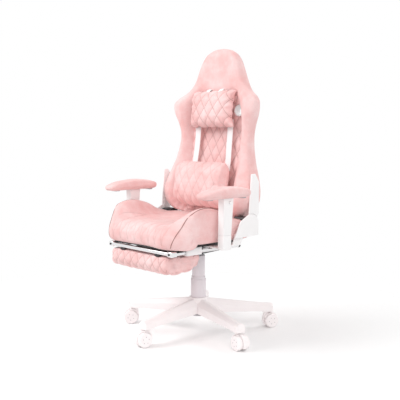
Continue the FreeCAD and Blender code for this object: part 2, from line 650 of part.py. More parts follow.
def armrest():
    socket = loft([rect_section(SOCKET_L, SOCKET_W, SOCKET_LOW),
                   rect_section(SOCKET_L, SOCKET_W, SLEEVE_LOW - FACE)])
    post = loft([rect_section(POST_L, POST_W, SOCKET_LOW), rect_section(POST_L, POST_W, POST_TOP)])
    bar = box(BAR_IN_X, ARM_X, BAR_FRONT, BAR_REAR, PAN_LOW - BAR_T, PAN_LOW)
    bracket = socket.fuse([post, bar])
    save("armrest_bracket_left", bracket)
    save("armrest_bracket_right", mirrored(bracket))

    top_y = POST_Y + (SLEEVE_TOP_L - SLEEVE_LOW_L) / 2
    sleeve = loft([rect_section(SLEEVE_LOW_L, SLEEVE_W, SLEEVE_LOW),
                   rect_section(SLEEVE_LOW_L + 5, SLEEVE_W, (SLEEVE_LOW + SLEEVE_TOP) / 2, POST_Y + 3),
                   rect_section(SLEEVE_TOP_L, SLEEVE_W, SLEEVE_TOP, top_y)])
    cavity_top = POST_TOP + 2
    cavity = loft([rect_section(POST_L + 2 * SLIDE, POST_W + 2 * SLIDE, SLEEVE_LOW - 1),
                   rect_section(POST_L + 2 * SLIDE, POST_W + 2 * SLIDE, cavity_top)])
    outer_x = ARM_X + SLEEVE_W / 2
    button_room = rod(ARM_BUTTON_R + SLIDE, (outer_x - 4, ARM_BUTTON_Y, ARM_BUTTON_Z),
                      (outer_x + 5, ARM_BUTTON_Y, ARM_BUTTON_Z))
    sleeve = sleeve.cut([cavity, button_room])
    save("armrest_sleeve_left", sleeve)
    save("armrest_sleeve_right", mirrored(sleeve))
    button = rod(ARM_BUTTON_R, (outer_x - 1, ARM_BUTTON_Y, ARM_BUTTON_Z),
                 (outer_x + 4, ARM_BUTTON_Y, ARM_BUTTON_Z))
    save("armrest_button_left", button)
    save("armrest_button_right", mirrored(button))

    profile = [(PAD_FRONT, PAD_TOP_FRONT - 16), (PAD_FRONT + 12, PAD_TOP_FRONT - 20),
               (POST_Y - 66, SLEEVE_TOP), (POST_Y + 44, SLEEVE_TOP), (PAD_REAR - 16, SLEEVE_TOP + 2),
               (PAD_REAR, SLEEVE_TOP + 10), (PAD_REAR - 4, PAD_TOP_REAR - 4), (PAD_REAR - 30, PAD_TOP_REAR + 6),
               (-90, PAD_TOP_MID), (-160, PAD_TOP_MID), (PAD_FRONT + 50, PAD_TOP_FRONT + 14),
               (PAD_FRONT + 8, PAD_TOP_FRONT)]
    pad = slab_x(profile, ARM_X - PAD_W / 2, ARM_X + PAD_W / 2)
    save("armrest_pad_left", pad)
    save("armrest_pad_right", mirrored(pad))


# ---- footrest ----
def footrest():
    rails = []
    caps = []
    guides = []
    for side in (-1, 1):
        x = side * RAIL_X
        solid = rod(RAIL_R, (x, RAIL_FRONT + RAIL_R, RAIL_Z), (x, RAIL_REAR, RAIL_Z))
        rails.append(solid)
        caps.append(rod(RAIL_R + 1, (x, RAIL_REAR, RAIL_Z), (x, RAIL_REAR + END_CAP_T, RAIL_Z)))
        guide = box(x - GUIDE_HALF_W, x + GUIDE_HALF_W, GUIDE_FRONT, GUIDE_REAR, GUIDE_LOW, PAN_LOW)
        guides.append(guide.cut(rod(RAIL_R + FACE, (x, -400, RAIL_Z), (x, 100, RAIL_Z))))
    save("footrest_rails", *rails)
    save("footrest_end_caps", *caps)
    save("footrest_guides", *guides)
    end_x = RAIL_X + RAIL_R
    bar = rod(RAIL_R, (-end_x, RAIL_FRONT, RAIL_Z), (end_x, RAIL_FRONT, RAIL_Z))
    bar = bar.cut([box(-300, 300, RAIL_FRONT + RAIL_R, 0, 300, 500)])
    save("footrest_cross_bar", bar)

    pad_top = RAIL_Z - CLIP_R
    clips = []
    for x in (-CLIP_X, CLIP_X):
        clip = rod(CLIP_R, (x - CLIP_W / 2, RAIL_FRONT, RAIL_Z), (x + CLIP_W / 2, RAIL_FRONT, RAIL_Z))
        clip = clip.fuse(box(x - CLIP_W / 2, x + CLIP_W / 2, RAIL_FRONT - CLIP_R, RAIL_FRONT + CLIP_R,
                             pad_top, RAIL_Z))
        clips.append(clip.cut(rod(RAIL_R + RUN, (-300, RAIL_FRONT, RAIL_Z), (300, RAIL_FRONT, RAIL_Z))))
    save("footrest_clips", *clips)
    profile = [(FOOT_FRONT + 6, pad_top), (FOOT_FRONT, pad_top - 14), (FOOT_FRONT + 4, FOOT_LOW + 18),
               (FOOT_FRONT + 28, FOOT_LOW), (-200, FOOT_LOW + 6), (FOOT_REAR - 14, FOOT_LOW + 24),
               (FOOT_REAR, FOOT_LOW + 46), (FOOT_REAR - 8, pad_top)]
    save("footrest_pad", slab_x(profile, -FOOT_HALF_W, FOOT_HALF_W))


def main():
    os.makedirs("parts", exist_ok=True)
    star_base()
    for k in range(ARM_COUNT):
        caster(k)
    column()
    mechanism()
    tilt_plate()
    seat_structure()
    seat_cushion()
    seat_bolster()
    backrest(side_pieces())
    pillow("lumbar_pillow", LUMBAR_LOW, LUMBAR_TOP, LUMBAR_HALF_W, LUMBAR_REAR_HALF_W,
           LUMBAR_FRONT, LUMBAR_REAR, LUMBAR_WAIST)
    pillow("head_pillow", HEAD_PAD_LOW, HEAD_PAD_TOP, HEAD_PAD_HALF_W, HEAD_PAD_REAR_HALF_W,
           HEAD_PAD_FRONT, HEAD_PAD_REAR, HEAD_PAD_WAIST)
    armrest()
    footrest()


main()
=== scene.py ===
import json
import math

import bpy
import numpy as np
from mathutils import Matrix, Vector


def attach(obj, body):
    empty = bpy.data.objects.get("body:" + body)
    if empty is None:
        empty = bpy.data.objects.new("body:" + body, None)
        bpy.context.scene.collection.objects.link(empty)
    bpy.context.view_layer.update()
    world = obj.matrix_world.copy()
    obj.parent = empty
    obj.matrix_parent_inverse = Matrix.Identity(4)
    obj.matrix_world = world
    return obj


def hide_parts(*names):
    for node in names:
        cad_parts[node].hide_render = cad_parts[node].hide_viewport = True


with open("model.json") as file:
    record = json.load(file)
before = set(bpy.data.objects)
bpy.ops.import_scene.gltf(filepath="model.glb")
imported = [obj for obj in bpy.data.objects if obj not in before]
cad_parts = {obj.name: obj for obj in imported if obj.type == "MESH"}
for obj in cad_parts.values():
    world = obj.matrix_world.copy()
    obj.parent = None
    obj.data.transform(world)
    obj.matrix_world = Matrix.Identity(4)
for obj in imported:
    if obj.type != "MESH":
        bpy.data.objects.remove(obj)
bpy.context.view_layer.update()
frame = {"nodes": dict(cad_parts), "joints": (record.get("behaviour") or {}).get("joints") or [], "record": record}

bl_info = {
    "name": "Winged swivel chair",
    "version": (1, 0, 0),
    "blender": (4, 5, 0),
    "location": "View3D > Sidebar > Chair",
    "description": "Upholstery, hard parts and finishes of a winged swivel chair around its frame",
    "category": "Object",
}

MM = 0.001
HINGE = next(Vector(j["pos_m"]) for j in frame["joints"] if j["name"] == "back_recline")
LEAN = math.radians(6.5)
TO_CHAIR = Matrix.Translation(HINGE) @ Matrix.Rotation(-LEAN, 4, "X")
DRAWN_HINGE_Z = 0.5
UPRIGHT = Matrix.Translation((0, 0, HINGE.z - DRAWN_HINGE_Z))


# ---- sizes and colours a user would change ----
class ChairUpholstery(bpy.types.PropertyGroup):
    diamond_width: bpy.props.FloatProperty(
        name="Diamond width", description="Width of one quilted diamond", default=0.052, unit="LENGTH")
    diamond_height: bpy.props.FloatProperty(
        name="Diamond height", description="Height of one quilted diamond", default=0.082, unit="LENGTH")
    quilt_depth: bpy.props.FloatProperty(
        name="Quilt depth", description="How far a diamond stands above its stitches",
        default=0.0045, unit="LENGTH")
    strap_width: bpy.props.FloatProperty(
        name="Strap width", description="Width of the elastic pillow straps", default=0.029, unit="LENGTH")
    piping_radius: bpy.props.FloatProperty(
        name="Piping radius", description="Radius of the cord along the seat seam",
        default=0.0016, unit="LENGTH")


class ChairFinishes(bpy.types.PropertyGroup):
    velvet: bpy.props.FloatVectorProperty(
        name="Velvet", description="Colour of the pile", default=(0.87, 0.50, 0.485), subtype="COLOR")
    # Painted sheen: the lighter colour of the velvet's random sheen patches, where the pile lies the other way.
    velvet_sheen_patches: bpy.props.FloatVectorProperty(
        name="Brushed velvet", description="Colour where the pile lies the other way",
        default=(0.96, 0.70, 0.69), subtype="COLOR")
    # Colour of the stitch thread and piping, also used for the painted shade in quilting valleys and stitched
    # grooves.
    thread_and_shade: bpy.props.FloatVectorProperty(
        name="Thread", description="Colour of stitches and piping", default=(0.34, 0.17, 0.15),
        subtype="COLOR")
    plastic: bpy.props.FloatVectorProperty(
        name="White plastic", description="Colour of covers and armrest posts",
        default=(0.94, 0.925, 0.925), subtype="COLOR")
    base: bpy.props.FloatVectorProperty(
        name="Base", description="Colour of the star base", default=(0.94, 0.885, 0.885), subtype="COLOR")
    sleeve: bpy.props.FloatVectorProperty(
        name="Column sleeve", description="Colour of the column covers",
        default=(0.80, 0.74, 0.77), subtype="COLOR")


def upholstery():
    return bpy.context.scene.chair_upholstery


def finishes():
    return bpy.context.scene.chair_finishes


# ---- node groups ----
def new_group(name, inputs, outputs):
    tree = bpy.data.node_groups.new(name, "ShaderNodeTree")
    for label, kind, value in inputs:
        socket = tree.interface.new_socket(name=label, in_out="INPUT", socket_type=kind)
        if value is not None:
            socket.default_value = value
    for label, kind in outputs:
        tree.interface.new_socket(name=label, in_out="OUTPUT", socket_type=kind)
    return tree, tree.nodes.new("NodeGroupInput"), tree.nodes.new("NodeGroupOutput")


def math_node(tree, operation, first, second=None, clamp=False):
    node = tree.nodes.new("ShaderNodeMath")
    node.operation = operation
    node.use_clamp = clamp
    for index, value in enumerate((first, second)):
        if value is None:
            continue
        if isinstance(value, (int, float)):
            node.inputs[index].default_value = value
        else:
            tree.links.new(value, node.inputs[index])
    return node.outputs[0]


def noise(tree, vector, scale, detail=3.0, rough=0.55):
    node = tree.nodes.new("ShaderNodeTexNoise")
    tree.links.new(vector, node.inputs["Vector"])
    if isinstance(scale, (int, float)):
        node.inputs["Scale"].default_value = scale
    else:
        tree.links.new(scale, node.inputs["Scale"])
    node.inputs["Detail"].default_value = detail
    node.inputs["Roughness"].default_value = rough
    return node.outputs["Fac"]


def ramp(tree, value, low, high):
    node = tree.nodes.new("ShaderNodeMapRange")
    node.inputs["From Min"].default_value = low
    node.inputs["From Max"].default_value = high
    tree.links.new(value, node.inputs["Value"])
    return node.outputs["Result"]


def mix_colour(tree, factor, first, second, blend="MIX"):
    node = tree.nodes.new("ShaderNodeMix")
    node.data_type = "RGBA"
    node.blend_type = blend
    for socket, value in ((node.inputs["Factor"], factor), (node.inputs[6], first), (node.inputs[7], second)):
        if isinstance(value, bpy.types.NodeSocket):
            tree.links.new(value, socket)
        elif isinstance(value, (int, float)):
            socket.default_value = value
        else:
            socket.default_value = (*value, 1.0)
    return node.outputs[2]


def group_pile():
    """Short pile: soft patches where it lies differently, fine fibre height and a mottled roughness."""
    tree, inp, out = new_group(
        "pile",
        [("Vector", "NodeSocketVector", None), ("Colour", "NodeSocketColor", None),
         ("Pile sheen", "NodeSocketColor", None)],
        [("Colour", "NodeSocketColor"), ("Height", "NodeSocketFloat"), ("Roughness", "NodeSocketFloat")])
    vector = inp.outputs["Vector"]
    broad = noise(tree, vector, 9.0, 4.0, 0.6)
    streak = noise(tree, vector, 34.0, 3.0, 0.6)
    fibre = noise(tree, vector, 900.0, 2.0, 0.7)
    patches = math_node(tree, "ADD", math_node(tree, "MULTIPLY", broad, 0.7),
                        math_node(tree, "MULTIPLY", streak, 0.3))
    # Painted sheen: random patches where the base colour turns to the lighter sheen colour; the same patches also
    # vary the roughness.
    lay_and_sheen = ramp(tree, patches, 0.36, 0.64)
    colour = mix_colour(tree, lay_and_sheen, inp.outputs["Colour"], inp.outputs["Pile sheen"])
    grain = ramp(tree, fibre, 0.3, 0.7)
    shade = mix_colour(tree, 0.10, colour, (0.0, 0.0, 0.0), "MULTIPLY")
    colour = mix_colour(tree, grain, shade, colour)
    tree.links.new(colour, out.inputs["Colour"])
    tree.links.new(math_node(tree, "ADD", grain, math_node(tree, "MULTIPLY", streak, 2.0)),
                   out.inputs["Height"])
    tree.links.new(math_node(tree, "ADD", 0.62, math_node(tree, "MULTIPLY", lay_and_sheen, 0.16)),
                   out.inputs["Roughness"])
    return tree


def group_stitches():
    """Stitch lines where either quilting coordinate passes a whole number."""
    tree, inp, out = new_group(
        "stitches",
        [("Quilt", "NodeSocketVector", None), ("Width", "NodeSocketFloat", 0.02)],
        [("Line", "NodeSocketFloat"), ("Valley shade", "NodeSocketFloat")])
    split = tree.nodes.new("ShaderNodeSeparateXYZ")
    tree.links.new(inp.outputs["Quilt"], split.inputs[0])
    distances = []
    for axis in ("X", "Y"):
        part = math_node(tree, "FRACT", split.outputs[axis])
        middle = math_node(tree, "ABSOLUTE", math_node(tree, "SUBTRACT", part, 0.5))
        distances.append(math_node(tree, "SUBTRACT", 0.5, middle))
    nearest = math_node(tree, "MINIMUM", distances[0], distances[1])
    line = math_node(tree, "LESS_THAN", nearest, inp.outputs["Width"])
    # Valley: a band around each stitch line that carries the painted shade of the quilting valleys.
    soft = math_node(tree, "DIVIDE", nearest, 0.16, clamp=True)
    tree.links.new(line, out.inputs["Line"])
    tree.links.new(math_node(tree, "SUBTRACT", 1.0, soft), out.inputs["Valley shade"])
    return tree


def group_moulding():
    """Moulded plastic: spark-eroded grain, faint flow marks and handling marks in the gloss."""
    tree, inp, out = new_group(
        "moulding",
        [("Vector", "NodeSocketVector", None), ("Colour", "NodeSocketColor", None),
         ("Gloss", "NodeSocketFloat", 0.35), ("Grain", "NodeSocketFloat", 1200.0)],
        [("Colour", "NodeSocketColor"), ("Roughness", "NodeSocketFloat"), ("Height", "NodeSocketFloat")])
    vector = inp.outputs["Vector"]
    flow = noise(tree, vector, 7.0, 2.0)
    marks = noise(tree, vector, 60.0, 5.0, 0.65)
    fine = noise(tree, vector, inp.outputs["Grain"], 2.0)
    shade = mix_colour(tree, 0.05, inp.outputs["Colour"], (0.35, 0.25, 0.25), "MIX")
    tree.links.new(mix_colour(tree, ramp(tree, flow, 0.35, 0.65), shade, inp.outputs["Colour"]),
                   out.inputs["Colour"])
    rough = math_node(tree, "ADD", inp.outputs["Gloss"], math_node(tree, "MULTIPLY", marks, 0.14))
    tree.links.new(rough, out.inputs["Roughness"])
    tree.links.new(fine, out.inputs["Height"])
    return tree


GROUPS = {}


def place_group(material, name):
    node = material.node_tree.nodes.new("ShaderNodeGroup")
    node.node_tree = GROUPS[name]
    return node


def new_material(name):
    material = bpy.data.materials.new(name)
    material.use_nodes = True
    tree = material.node_tree
    shader = tree.nodes["Principled BSDF"]
    place = tree.nodes.new("ShaderNodeTexCoord").outputs["Object"]
    return material, tree, shader, place


def add_bump(tree, shader, height, strength, distance):
    bump = tree.nodes.new("ShaderNodeBump")
    bump.inputs["Strength"].default_value = strength
    bump.inputs["Distance"].default_value = distance
    tree.links.new(height, bump.inputs["Height"])
    tree.links.new(bump.outputs["Normal"], shader.inputs["Normal"])


def velvet_material(name, quilted, stitch_and_shade_tone=0.50, valley_shade_tone=0.14):
    material, tree, shader, place = new_material(name)
    pile = place_group(material, "pile")
    tree.links.new(place, pile.inputs["Vector"])
    pile.inputs["Colour"].default_value = (*finishes().velvet, 1.0)
    # Lighter colour for the painted sheen patches.
    pile.inputs["Pile sheen"].default_value = (*finishes().velvet_sheen_patches, 1.0)
    colour = pile.outputs["Colour"]
    height = pile.outputs["Height"]
    if quilted:
        uv = tree.nodes.new("ShaderNodeUVMap")
        uv.uv_map = "quilt"
        stitches = place_group(material, "stitches")
        tree.links.new(uv.outputs["UV"], stitches.inputs["Quilt"])
        # Painted shade in the quilting valleys: the colour darkens towards the thread colour near each stitch
        # line.
        valley_shade = math_node(tree, "MULTIPLY", stitches.outputs["Valley shade"], valley_shade_tone)
        valley_shaded = mix_colour(tree, valley_shade, colour, finishes().thread_and_shade)
        # Stitch lines: the thread colour, deepened as painted shade in the stitched groove.
        line = math_node(tree, "MULTIPLY", stitches.outputs["Line"], stitch_and_shade_tone)
        colour = mix_colour(tree, line, valley_shaded, finishes().thread_and_shade)
        height = math_node(tree, "SUBTRACT", height,
                           math_node(tree, "MULTIPLY", stitches.outputs["Line"], 3.0))
    tree.links.new(colour, shader.inputs["Base Color"])
    tree.links.new(pile.outputs["Roughness"], shader.inputs["Roughness"])
    shader.inputs["Sheen Weight"].default_value = 0.55
    shader.inputs["Sheen Roughness"].default_value = 0.35
    shader.inputs["Sheen Tint"].default_value = (1.0, 0.90, 0.88, 1.0)
    shader.inputs["Specular IOR Level"].default_value = 0.25
    add_bump(tree, shader, height, 0.35, 0.0006)
    return material


def plastic_material(name, colour, gloss, grain=1200.0, coat=0.0):
    material, tree, shader, place = new_material(name)
    group = place_group(material, "moulding")
    tree.links.new(place, group.inputs["Vector"])
    group.inputs["Colour"].default_value = (*colour, 1.0)
    group.inputs["Gloss"].default_value = gloss
    group.inputs["Grain"].default_value = grain
    tree.links.new(group.outputs["Colour"], shader.inputs["Base Color"])
    tree.links.new(group.outputs["Roughness"], shader.inputs["Roughness"])
    shader.inputs["Coat Weight"].default_value = coat
    add_bump(tree, shader, group.outputs["Height"], 0.12, 0.0003)
    return material


def metal_material(name, colour, gloss, grain=260.0, metallic=1.0):
    material, tree, shader, place = new_material(name)
    group = place_group(material, "moulding")
    tree.links.new(place, group.inputs["Vector"])
    group.inputs["Colour"].default_value = (*colour, 1.0)
    group.inputs["Gloss"].default_value = gloss
    group.inputs["Grain"].default_value = grain
    tree.links.new(group.outputs["Colour"], shader.inputs["Base Color"])
    tree.links.new(group.outputs["Roughness"], shader.inputs["Roughness"])
    shader.inputs["Metallic"].default_value = metallic
    add_bump(tree, shader, group.outputs["Height"], 0.04, 0.0002)
    return material


def webbing_material():
    material, tree, shader, place = new_material("strap_webbing")
    wave = tree.nodes.new("ShaderNodeTexWave")
    wave.bands_direction = "Z"
    wave.inputs["Scale"].default_value = 260.0
    tree.links.new(place, wave.inputs["Vector"])
    colour = mix_colour(tree, wave.outputs["Fac"], (0.86, 0.83, 0.83), (0.96, 0.94, 0.94))
    tree.links.new(colour, shader.inputs["Base Color"])
    shader.inputs["Roughness"].default_value = 0.8
    shader.inputs["Sheen Weight"].default_value = 0.2
    add_bump(tree, shader, wave.outputs["Fac"], 0.4, 0.0004)
    return material


MATERIALS = {}


def build_materials():
    GROUPS["pile"] = group_pile()
    GROUPS["stitches"] = group_stitches()
    GROUPS["moulding"] = group_moulding()
    look = finishes()
    MATERIALS.update({
        "velvet": velvet_material("velvet", False),
        "quilt": velvet_material("quilted_velvet", True),
        "faint_quilt": velvet_material("faintly_quilted_velvet", True, 0.28, 0.07),
        "thread_and_shade": plastic_material("thread_and_shade", look.thread_and_shade, 0.6),
        "white_plastic": plastic_material("white_plastic", look.plastic, 0.30),
        "base_white": plastic_material("base_nylon", look.base, 0.34, 1500.0),
        "caster_white": plastic_material("caster_nylon", look.base, 0.36, 1500.0),
        "column_white": plastic_material("column_sleeve", look.sleeve, 0.38),
        "grey_plastic": plastic_material("grey_cap", (0.42, 0.40, 0.42), 0.4),
        "black_plastic": plastic_material("black_plastic", (0.02, 0.02, 0.022), 0.4),
        "steel": metal_material("ground_steel", (0.6, 0.6, 0.62), 0.25),
        "black_steel": metal_material("black_powder_coat", (0.012, 0.011, 0.012), 0.5, 900.0, 0.0),
        "chrome": metal_material("chrome", (0.86, 0.86, 0.87), 0.05),
        "strap": webbing_material(),
    })
    MATERIALS["arm_pad"] = MATERIALS["velvet"]


# ---- mesh making for upholstery ----
def smooth_loop(points, per):
    """Closed smooth curve through the points, with per steps from each to the next."""
    p = np.asarray(points, float)
    return smooth_steps(np.roll(p, 1, 0), p, np.roll(p, -1, 0), np.roll(p, -2, 0), per)


def smooth_steps(before, start, end, after, per):
    t = (np.arange(per) / per).reshape(1, per, *([1] * (start.ndim - 1)))
    b, s, e, a = (v[:, None] for v in (before, start, end, after))
    curve = s + 0.5 * t * ((e - b) + t * ((2 * b - 5 * s + 4 * e - a) + t * (3 * (s - e) + a - b)))
    return curve.reshape(-1, *start.shape[1:])


def smooth_run(stations, per):
    """Open smooth run through the stations, ends included."""
    p = np.asarray(stations, float)
    ghost_start = 2 * p[0] - p[1]
    ghost_end = 2 * p[-1] - p[-2]
    full = np.concatenate([ghost_start[None], p, ghost_end[None]])
    run = smooth_steps(full[:-3], full[1:-2], full[2:-1], full[3:], per)
    return np.concatenate([run, p[-1][None]])


def mesh_object(name, vertices, faces, matrix, material):
    mesh = bpy.data.meshes.new(name)
    mesh.from_pydata([tuple(v) for v in vertices], [], faces)
    mesh.transform(matrix)
    mesh.materials.append(MATERIALS[material])
    mesh.shade_smooth()
    mesh.validate()
    piece = bpy.data.objects.new(name, mesh)
    bpy.context.scene.collection.objects.link(piece)
    return piece


def lofted(name, stations, around, along, matrix, material):
    """Closed body through rings of control points in millimetres."""
    rings = smooth_run([smooth_loop(ring, around) for ring in stations], along) * MM
    count, size = rings.shape[:2]
    vertices = rings.reshape(-1, 3)
    faces = []
    for j in range(count - 1):
        for i in range(size):
            k = (i + 1) % size
            faces.append((j * size + i, j * size + k, (j + 1) * size + k, (j + 1) * size + i))
    centres = np.array([rings[0].mean(0), rings[-1].mean(0)])
    vertices = np.concatenate([vertices, centres])
    first, last = len(vertices) - 2, len(vertices) - 1
    top = (count - 1) * size
    for i in range(size):
        k = (i + 1) % size
        faces.append((first, k, i))
        faces.append((last, top + i, top + k))
    piece = mesh_object(name, vertices, faces, matrix, material)
    outward(piece)
    return piece


def only(piece):
    for other in bpy.context.selected_objects:
        other.select_set(False)
    piece.select_set(True)
    bpy.context.view_layer.objects.active = piece


def outward(piece):
    only(piece)
    bpy.ops.object.mode_set(mode="EDIT")
    bpy.ops.mesh.select_all(action="SELECT")
    bpy.ops.mesh.normals_make_consistent(inside=False)
    bpy.ops.object.mode_set(mode="OBJECT")


def coordinates(mesh):
    flat = np.empty(len(mesh.vertices) * 3)
    mesh.vertices.foreach_get("co", flat)
    return flat.reshape(-1, 3)


def normals(mesh):
    flat = np.empty(len(mesh.vertices) * 3)
    mesh.vertex_normals.foreach_get("vector", flat)
    return flat.reshape(-1, 3)


def in_piece_frame(points, matrix):
    inverse = np.array(matrix.inverted())
    return (points @ inverse[:3, :3].T + inverse[:3, 3]) / MM


def press(piece, matrix, height):
    """Move each point along its normal by height(local point, local normal), in millimetres."""
    mesh = piece.data
    points = coordinates(mesh)
    out = normals(mesh)
    turn = np.array(matrix.inverted())[:3, :3]
    amount = height(in_piece_frame(points, matrix), out @ turn.T)
    points += out * (amount * MM)[:, None]
    mesh.vertices.foreach_set("co", points.ravel())
    mesh.update()


def bell(distance, width):
    return np.exp(-(distance / width) ** 2)


def diamonds(a, b, width, height):
    """Two quilting coordinates, whole numbers on the stitch lines."""
    return a / width + b / height, a / width - b / height


def puffed(first, second, mask, depth):
    nearest = np.minimum(np.abs(first - np.round(first)), np.abs(second - np.round(second)))
    return mask * depth * (1.0 - np.exp(-(nearest / 0.17) ** 2))


def ripples(points, seed, scale):
    """Smooth, repeatable unevenness between -1 and 1."""
    x, y, z = (points / scale).T
    return (np.sin(1.7 * x + 2.3 * y + seed) * np.cos(1.3 * z - 0.9 * x + 2 * seed)
            + 0.5 * np.sin(3.1 * z + 2.2 * y + 3 * seed) * np.cos(2.9 * x + seed)) / 1.5


def quilt_map(piece, first, second, mask):
    """UV map that carries the quilting coordinates; half numbers where there are no stitches."""
    mesh = piece.data
    layer = mesh.uv_layers.new(name="quilt")
    corner = np.empty(len(mesh.loops), dtype=np.int64)
    mesh.loops.foreach_get("vertex_index", corner)
    uv = np.stack([first, second], 1)[corner]
    open_corner = mask[corner] < 0.5
    per_face = np.empty(len(mesh.polygons), dtype=np.int64)
    mesh.polygons.foreach_get("loop_total", per_face)
    face_of = np.repeat(np.arange(len(per_face)), per_face)
    plain = np.zeros(len(per_face), bool)
    np.logical_or.at(plain, face_of, open_corner)
    uv[plain[face_of]] = 0.5
    layer.data.foreach_set("uv", uv.ravel())


def inflated(piece, pressure, reach, frames=18):
    """Blow the cover up with a cloth simulation, and keep each point within reach of its start."""
    scene = bpy.context.scene
    start = coordinates(piece.data).copy()
    only(piece)
    bpy.ops.object.modifier_add(type="CLOTH")
    cloth = piece.modifiers[-1]
    cloth.settings.quality = 4
    cloth.settings.mass = 0.2
    cloth.settings.tension_stiffness = 25
    cloth.settings.compression_stiffness = 25
    cloth.settings.bending_stiffness = 0.6
    cloth.settings.use_pressure = True
    cloth.settings.uniform_pressure_force = pressure
    cloth.settings.effector_weights.gravity = 0.0
    cloth.point_cache.frame_start = 1
    cloth.point_cache.frame_end = frames
    for number in range(1, frames + 1):
        scene.frame_set(number)
    ready = piece.evaluated_get(bpy.context.evaluated_depsgraph_get())
    blown = coordinates(ready.data).copy()
    piece.modifiers.remove(cloth)
    scene.frame_set(1)
    move = blown - start
    length = np.linalg.norm(move, axis=1)
    limit = reach * MM
    move *= (limit * np.tanh(length / limit) / np.maximum(length, 1e-9))[:, None]
    piece.data.vertices.foreach_set("co", (start + move).ravel())
    piece.data.update()


def subdivided(piece, levels=1):
    only(piece)
    bpy.ops.object.modifier_add(type="SUBSURF")
    subsurf = piece.modifiers[-1]
    subsurf.levels = levels
    subsurf.render_levels = levels
    bpy.ops.object.modifier_apply(modifier=subsurf.name)


def tube_along(name, points, radius, matrix, material, sides=8, closed=False):
    """Thin cord through points in millimetres."""
    path = smooth_loop(points, 8) if closed else smooth_run(points, 8)
    path = path * MM
    ahead = np.gradient(path, axis=0)
    ahead /= np.linalg.norm(ahead, axis=1)[:, None]
    side = np.cross(ahead, (1.0, 0.2, 0.1))
    side /= np.linalg.norm(side, axis=1)[:, None]
    other = np.cross(ahead, side)
    vertices = []
    faces = []
    for j in range(len(path)):
        for i in range(sides):
            angle = 2 * math.pi * i / sides
            vertices.append(path[j] + radius * (math.cos(angle) * side[j] + math.sin(angle) * other[j]))
    count = len(path)
    for j in range(count - 1):
        for i in range(sides):
            k = (i + 1) % sides
            faces.append((j * sides + i, j * sides + k, (j + 1) * sides + k, (j + 1) * sides + i))
    faces.append(tuple(range(sides)))
    faces.append(tuple((count - 1) * sides + i for i in range(sides)))
    piece = mesh_object(name, vertices, faces, matrix, material)
    outward(piece)
    return piece


def finish(piece, body, slot, *nodes, fill=None):
    if nodes:
        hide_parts(*nodes)
    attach(piece, body)
    return piece


# ---- backrest ----
# height, half width, front of the ridge, rear at the edge, half width and front of the recess
BACK_STATIONS = (
    (24, 150, 6, 46, 96, 12), (27, 188, -8, 52, 112, 12), (38, 218, -24, 57, 126, 14),
    (62, 244, -38, 60, 134, 18), (82, 254, -44, 60, 137, 21),
    (104, 261, -46, 61, 139, 24), (140, 260, -42, 61, 141, 27), (180, 250, -33, 60, 142, 29),
    (220, 238, -23, 58, 142, 31), (260, 225, -14, 56, 143, 33), (317, 213, -7, 52, 143, 35),
    (370, 212, -4, 46, 143, 36), (415, 224, -14, 39, 143, 35), (455, 241, -27, 31, 142, 32),
    (487, 247, -33, 26, 138, 26), (508, 243, -31, 26, 132, 19), (528, 222, -22, 33, 124, 11),
    (548, 190, -12, 42, 112, 4), (572, 163, -7, 50, 98, -4), (600, 143, -7, 55, 84, -8),
    (640, 125, -9, 52, 72, -11), (680, 108, -8, 46, 60, -11), (708, 88, -4, 41, 50, -8),
    (724, 64, 2, 36, 38, -3), (733, 38, 9, 30, 22, 5), (736, 14, 15, 24, 8, 13),
)
HOLE_X = 125.0
HOLE_Z = 471.0
HOLE_RX = 26.0
HOLE_RZ = 24.0
BEZEL_DEPTH = 33.0
BEZEL_Y = 37.5


def back_ring(z, half, ridge, edge_rear, recess_half, recess):
    rear = edge_rear + min(18.0, (half - 100) * 0.12) if half > 100 else edge_rear + 4
    side = (ridge + edge_rear) / 2
    ridge_x = min(recess_half + (half - recess_half) * 0.62, half - 12)
    right = [(recess_half * 0.5, recess), (recess_half * 0.92, recess),
             (recess_half + 6, recess - (recess - ridge) * 0.30),
             ((recess_half + ridge_x) / 2 + 3, ridge + (recess - ridge) * 0.22),
             (ridge_x, ridge), (half - 5, ridge + (side - ridge) * 0.42),
             (half, side + 4), (half - 7, edge_rear - 2), (half * 0.82, edge_rear + 4), (half * 0.45, rear)]
    ring = [(0.0, recess)] + right + [(0.0, rear)] + [(-x, y) for x, y in reversed(right)]
    return [(x, y, z) for x, y in ring]


def punch(piece, x):
    """Cut the strap hole at x through a piece of the backrest."""
    only(piece)
    bpy.ops.mesh.primitive_cylinder_add(vertices=48, radius=1.0, depth=0.4)
    cutter = bpy.context.object
    shape = Matrix.Diagonal((HOLE_RX * MM, HOLE_RZ * MM, 1.0, 1.0))
    stand = Matrix.Rotation(math.radians(90), 4, "X")
    cutter.data.transform(TO_CHAIR @ Matrix.Translation((x * MM, 0.03, HOLE_Z * MM)) @ stand @ shape)
    only(piece)
    bpy.ops.object.modifier_add(type="BOOLEAN")
    cut = piece.modifiers[-1]
    cut.operation = "DIFFERENCE"
    cut.object = cutter
    bpy.ops.object.modifier_apply(modifier=cut.name)
    bpy.data.objects.remove(cutter)


def back_shell():
    piece = lofted("backrest_cover", [back_ring(*s) for s in BACK_STATIONS], 6, 6, TO_CHAIR, "velvet")

    def soft(points, out):
        x, _, z = points.T
        across = np.abs(x)
        shoulder_seam = bell(z - (556 - (across - 150) * 0.5), 3.0) * (across > 150) * (out[:, 1] < 0.3)
        foot = np.clip((130 - z) / 90, 0, 1)
        creases = foot * np.sin(across * 0.28 + z * 0.12) * bell(across - 150, 45) * 1.6
        return ripples(points, 1.0, 60) * 0.9 - 1.6 * shoulder_seam + creases

    press(piece, TO_CHAIR, soft)
    for side in (-1, 1):
        punch(piece, side * HOLE_X)
    piece.data.shade_smooth()
    finish(piece, "backrest", "velvet", "back_wing_left", "back_wing_right", "back_head", fill=0.8)


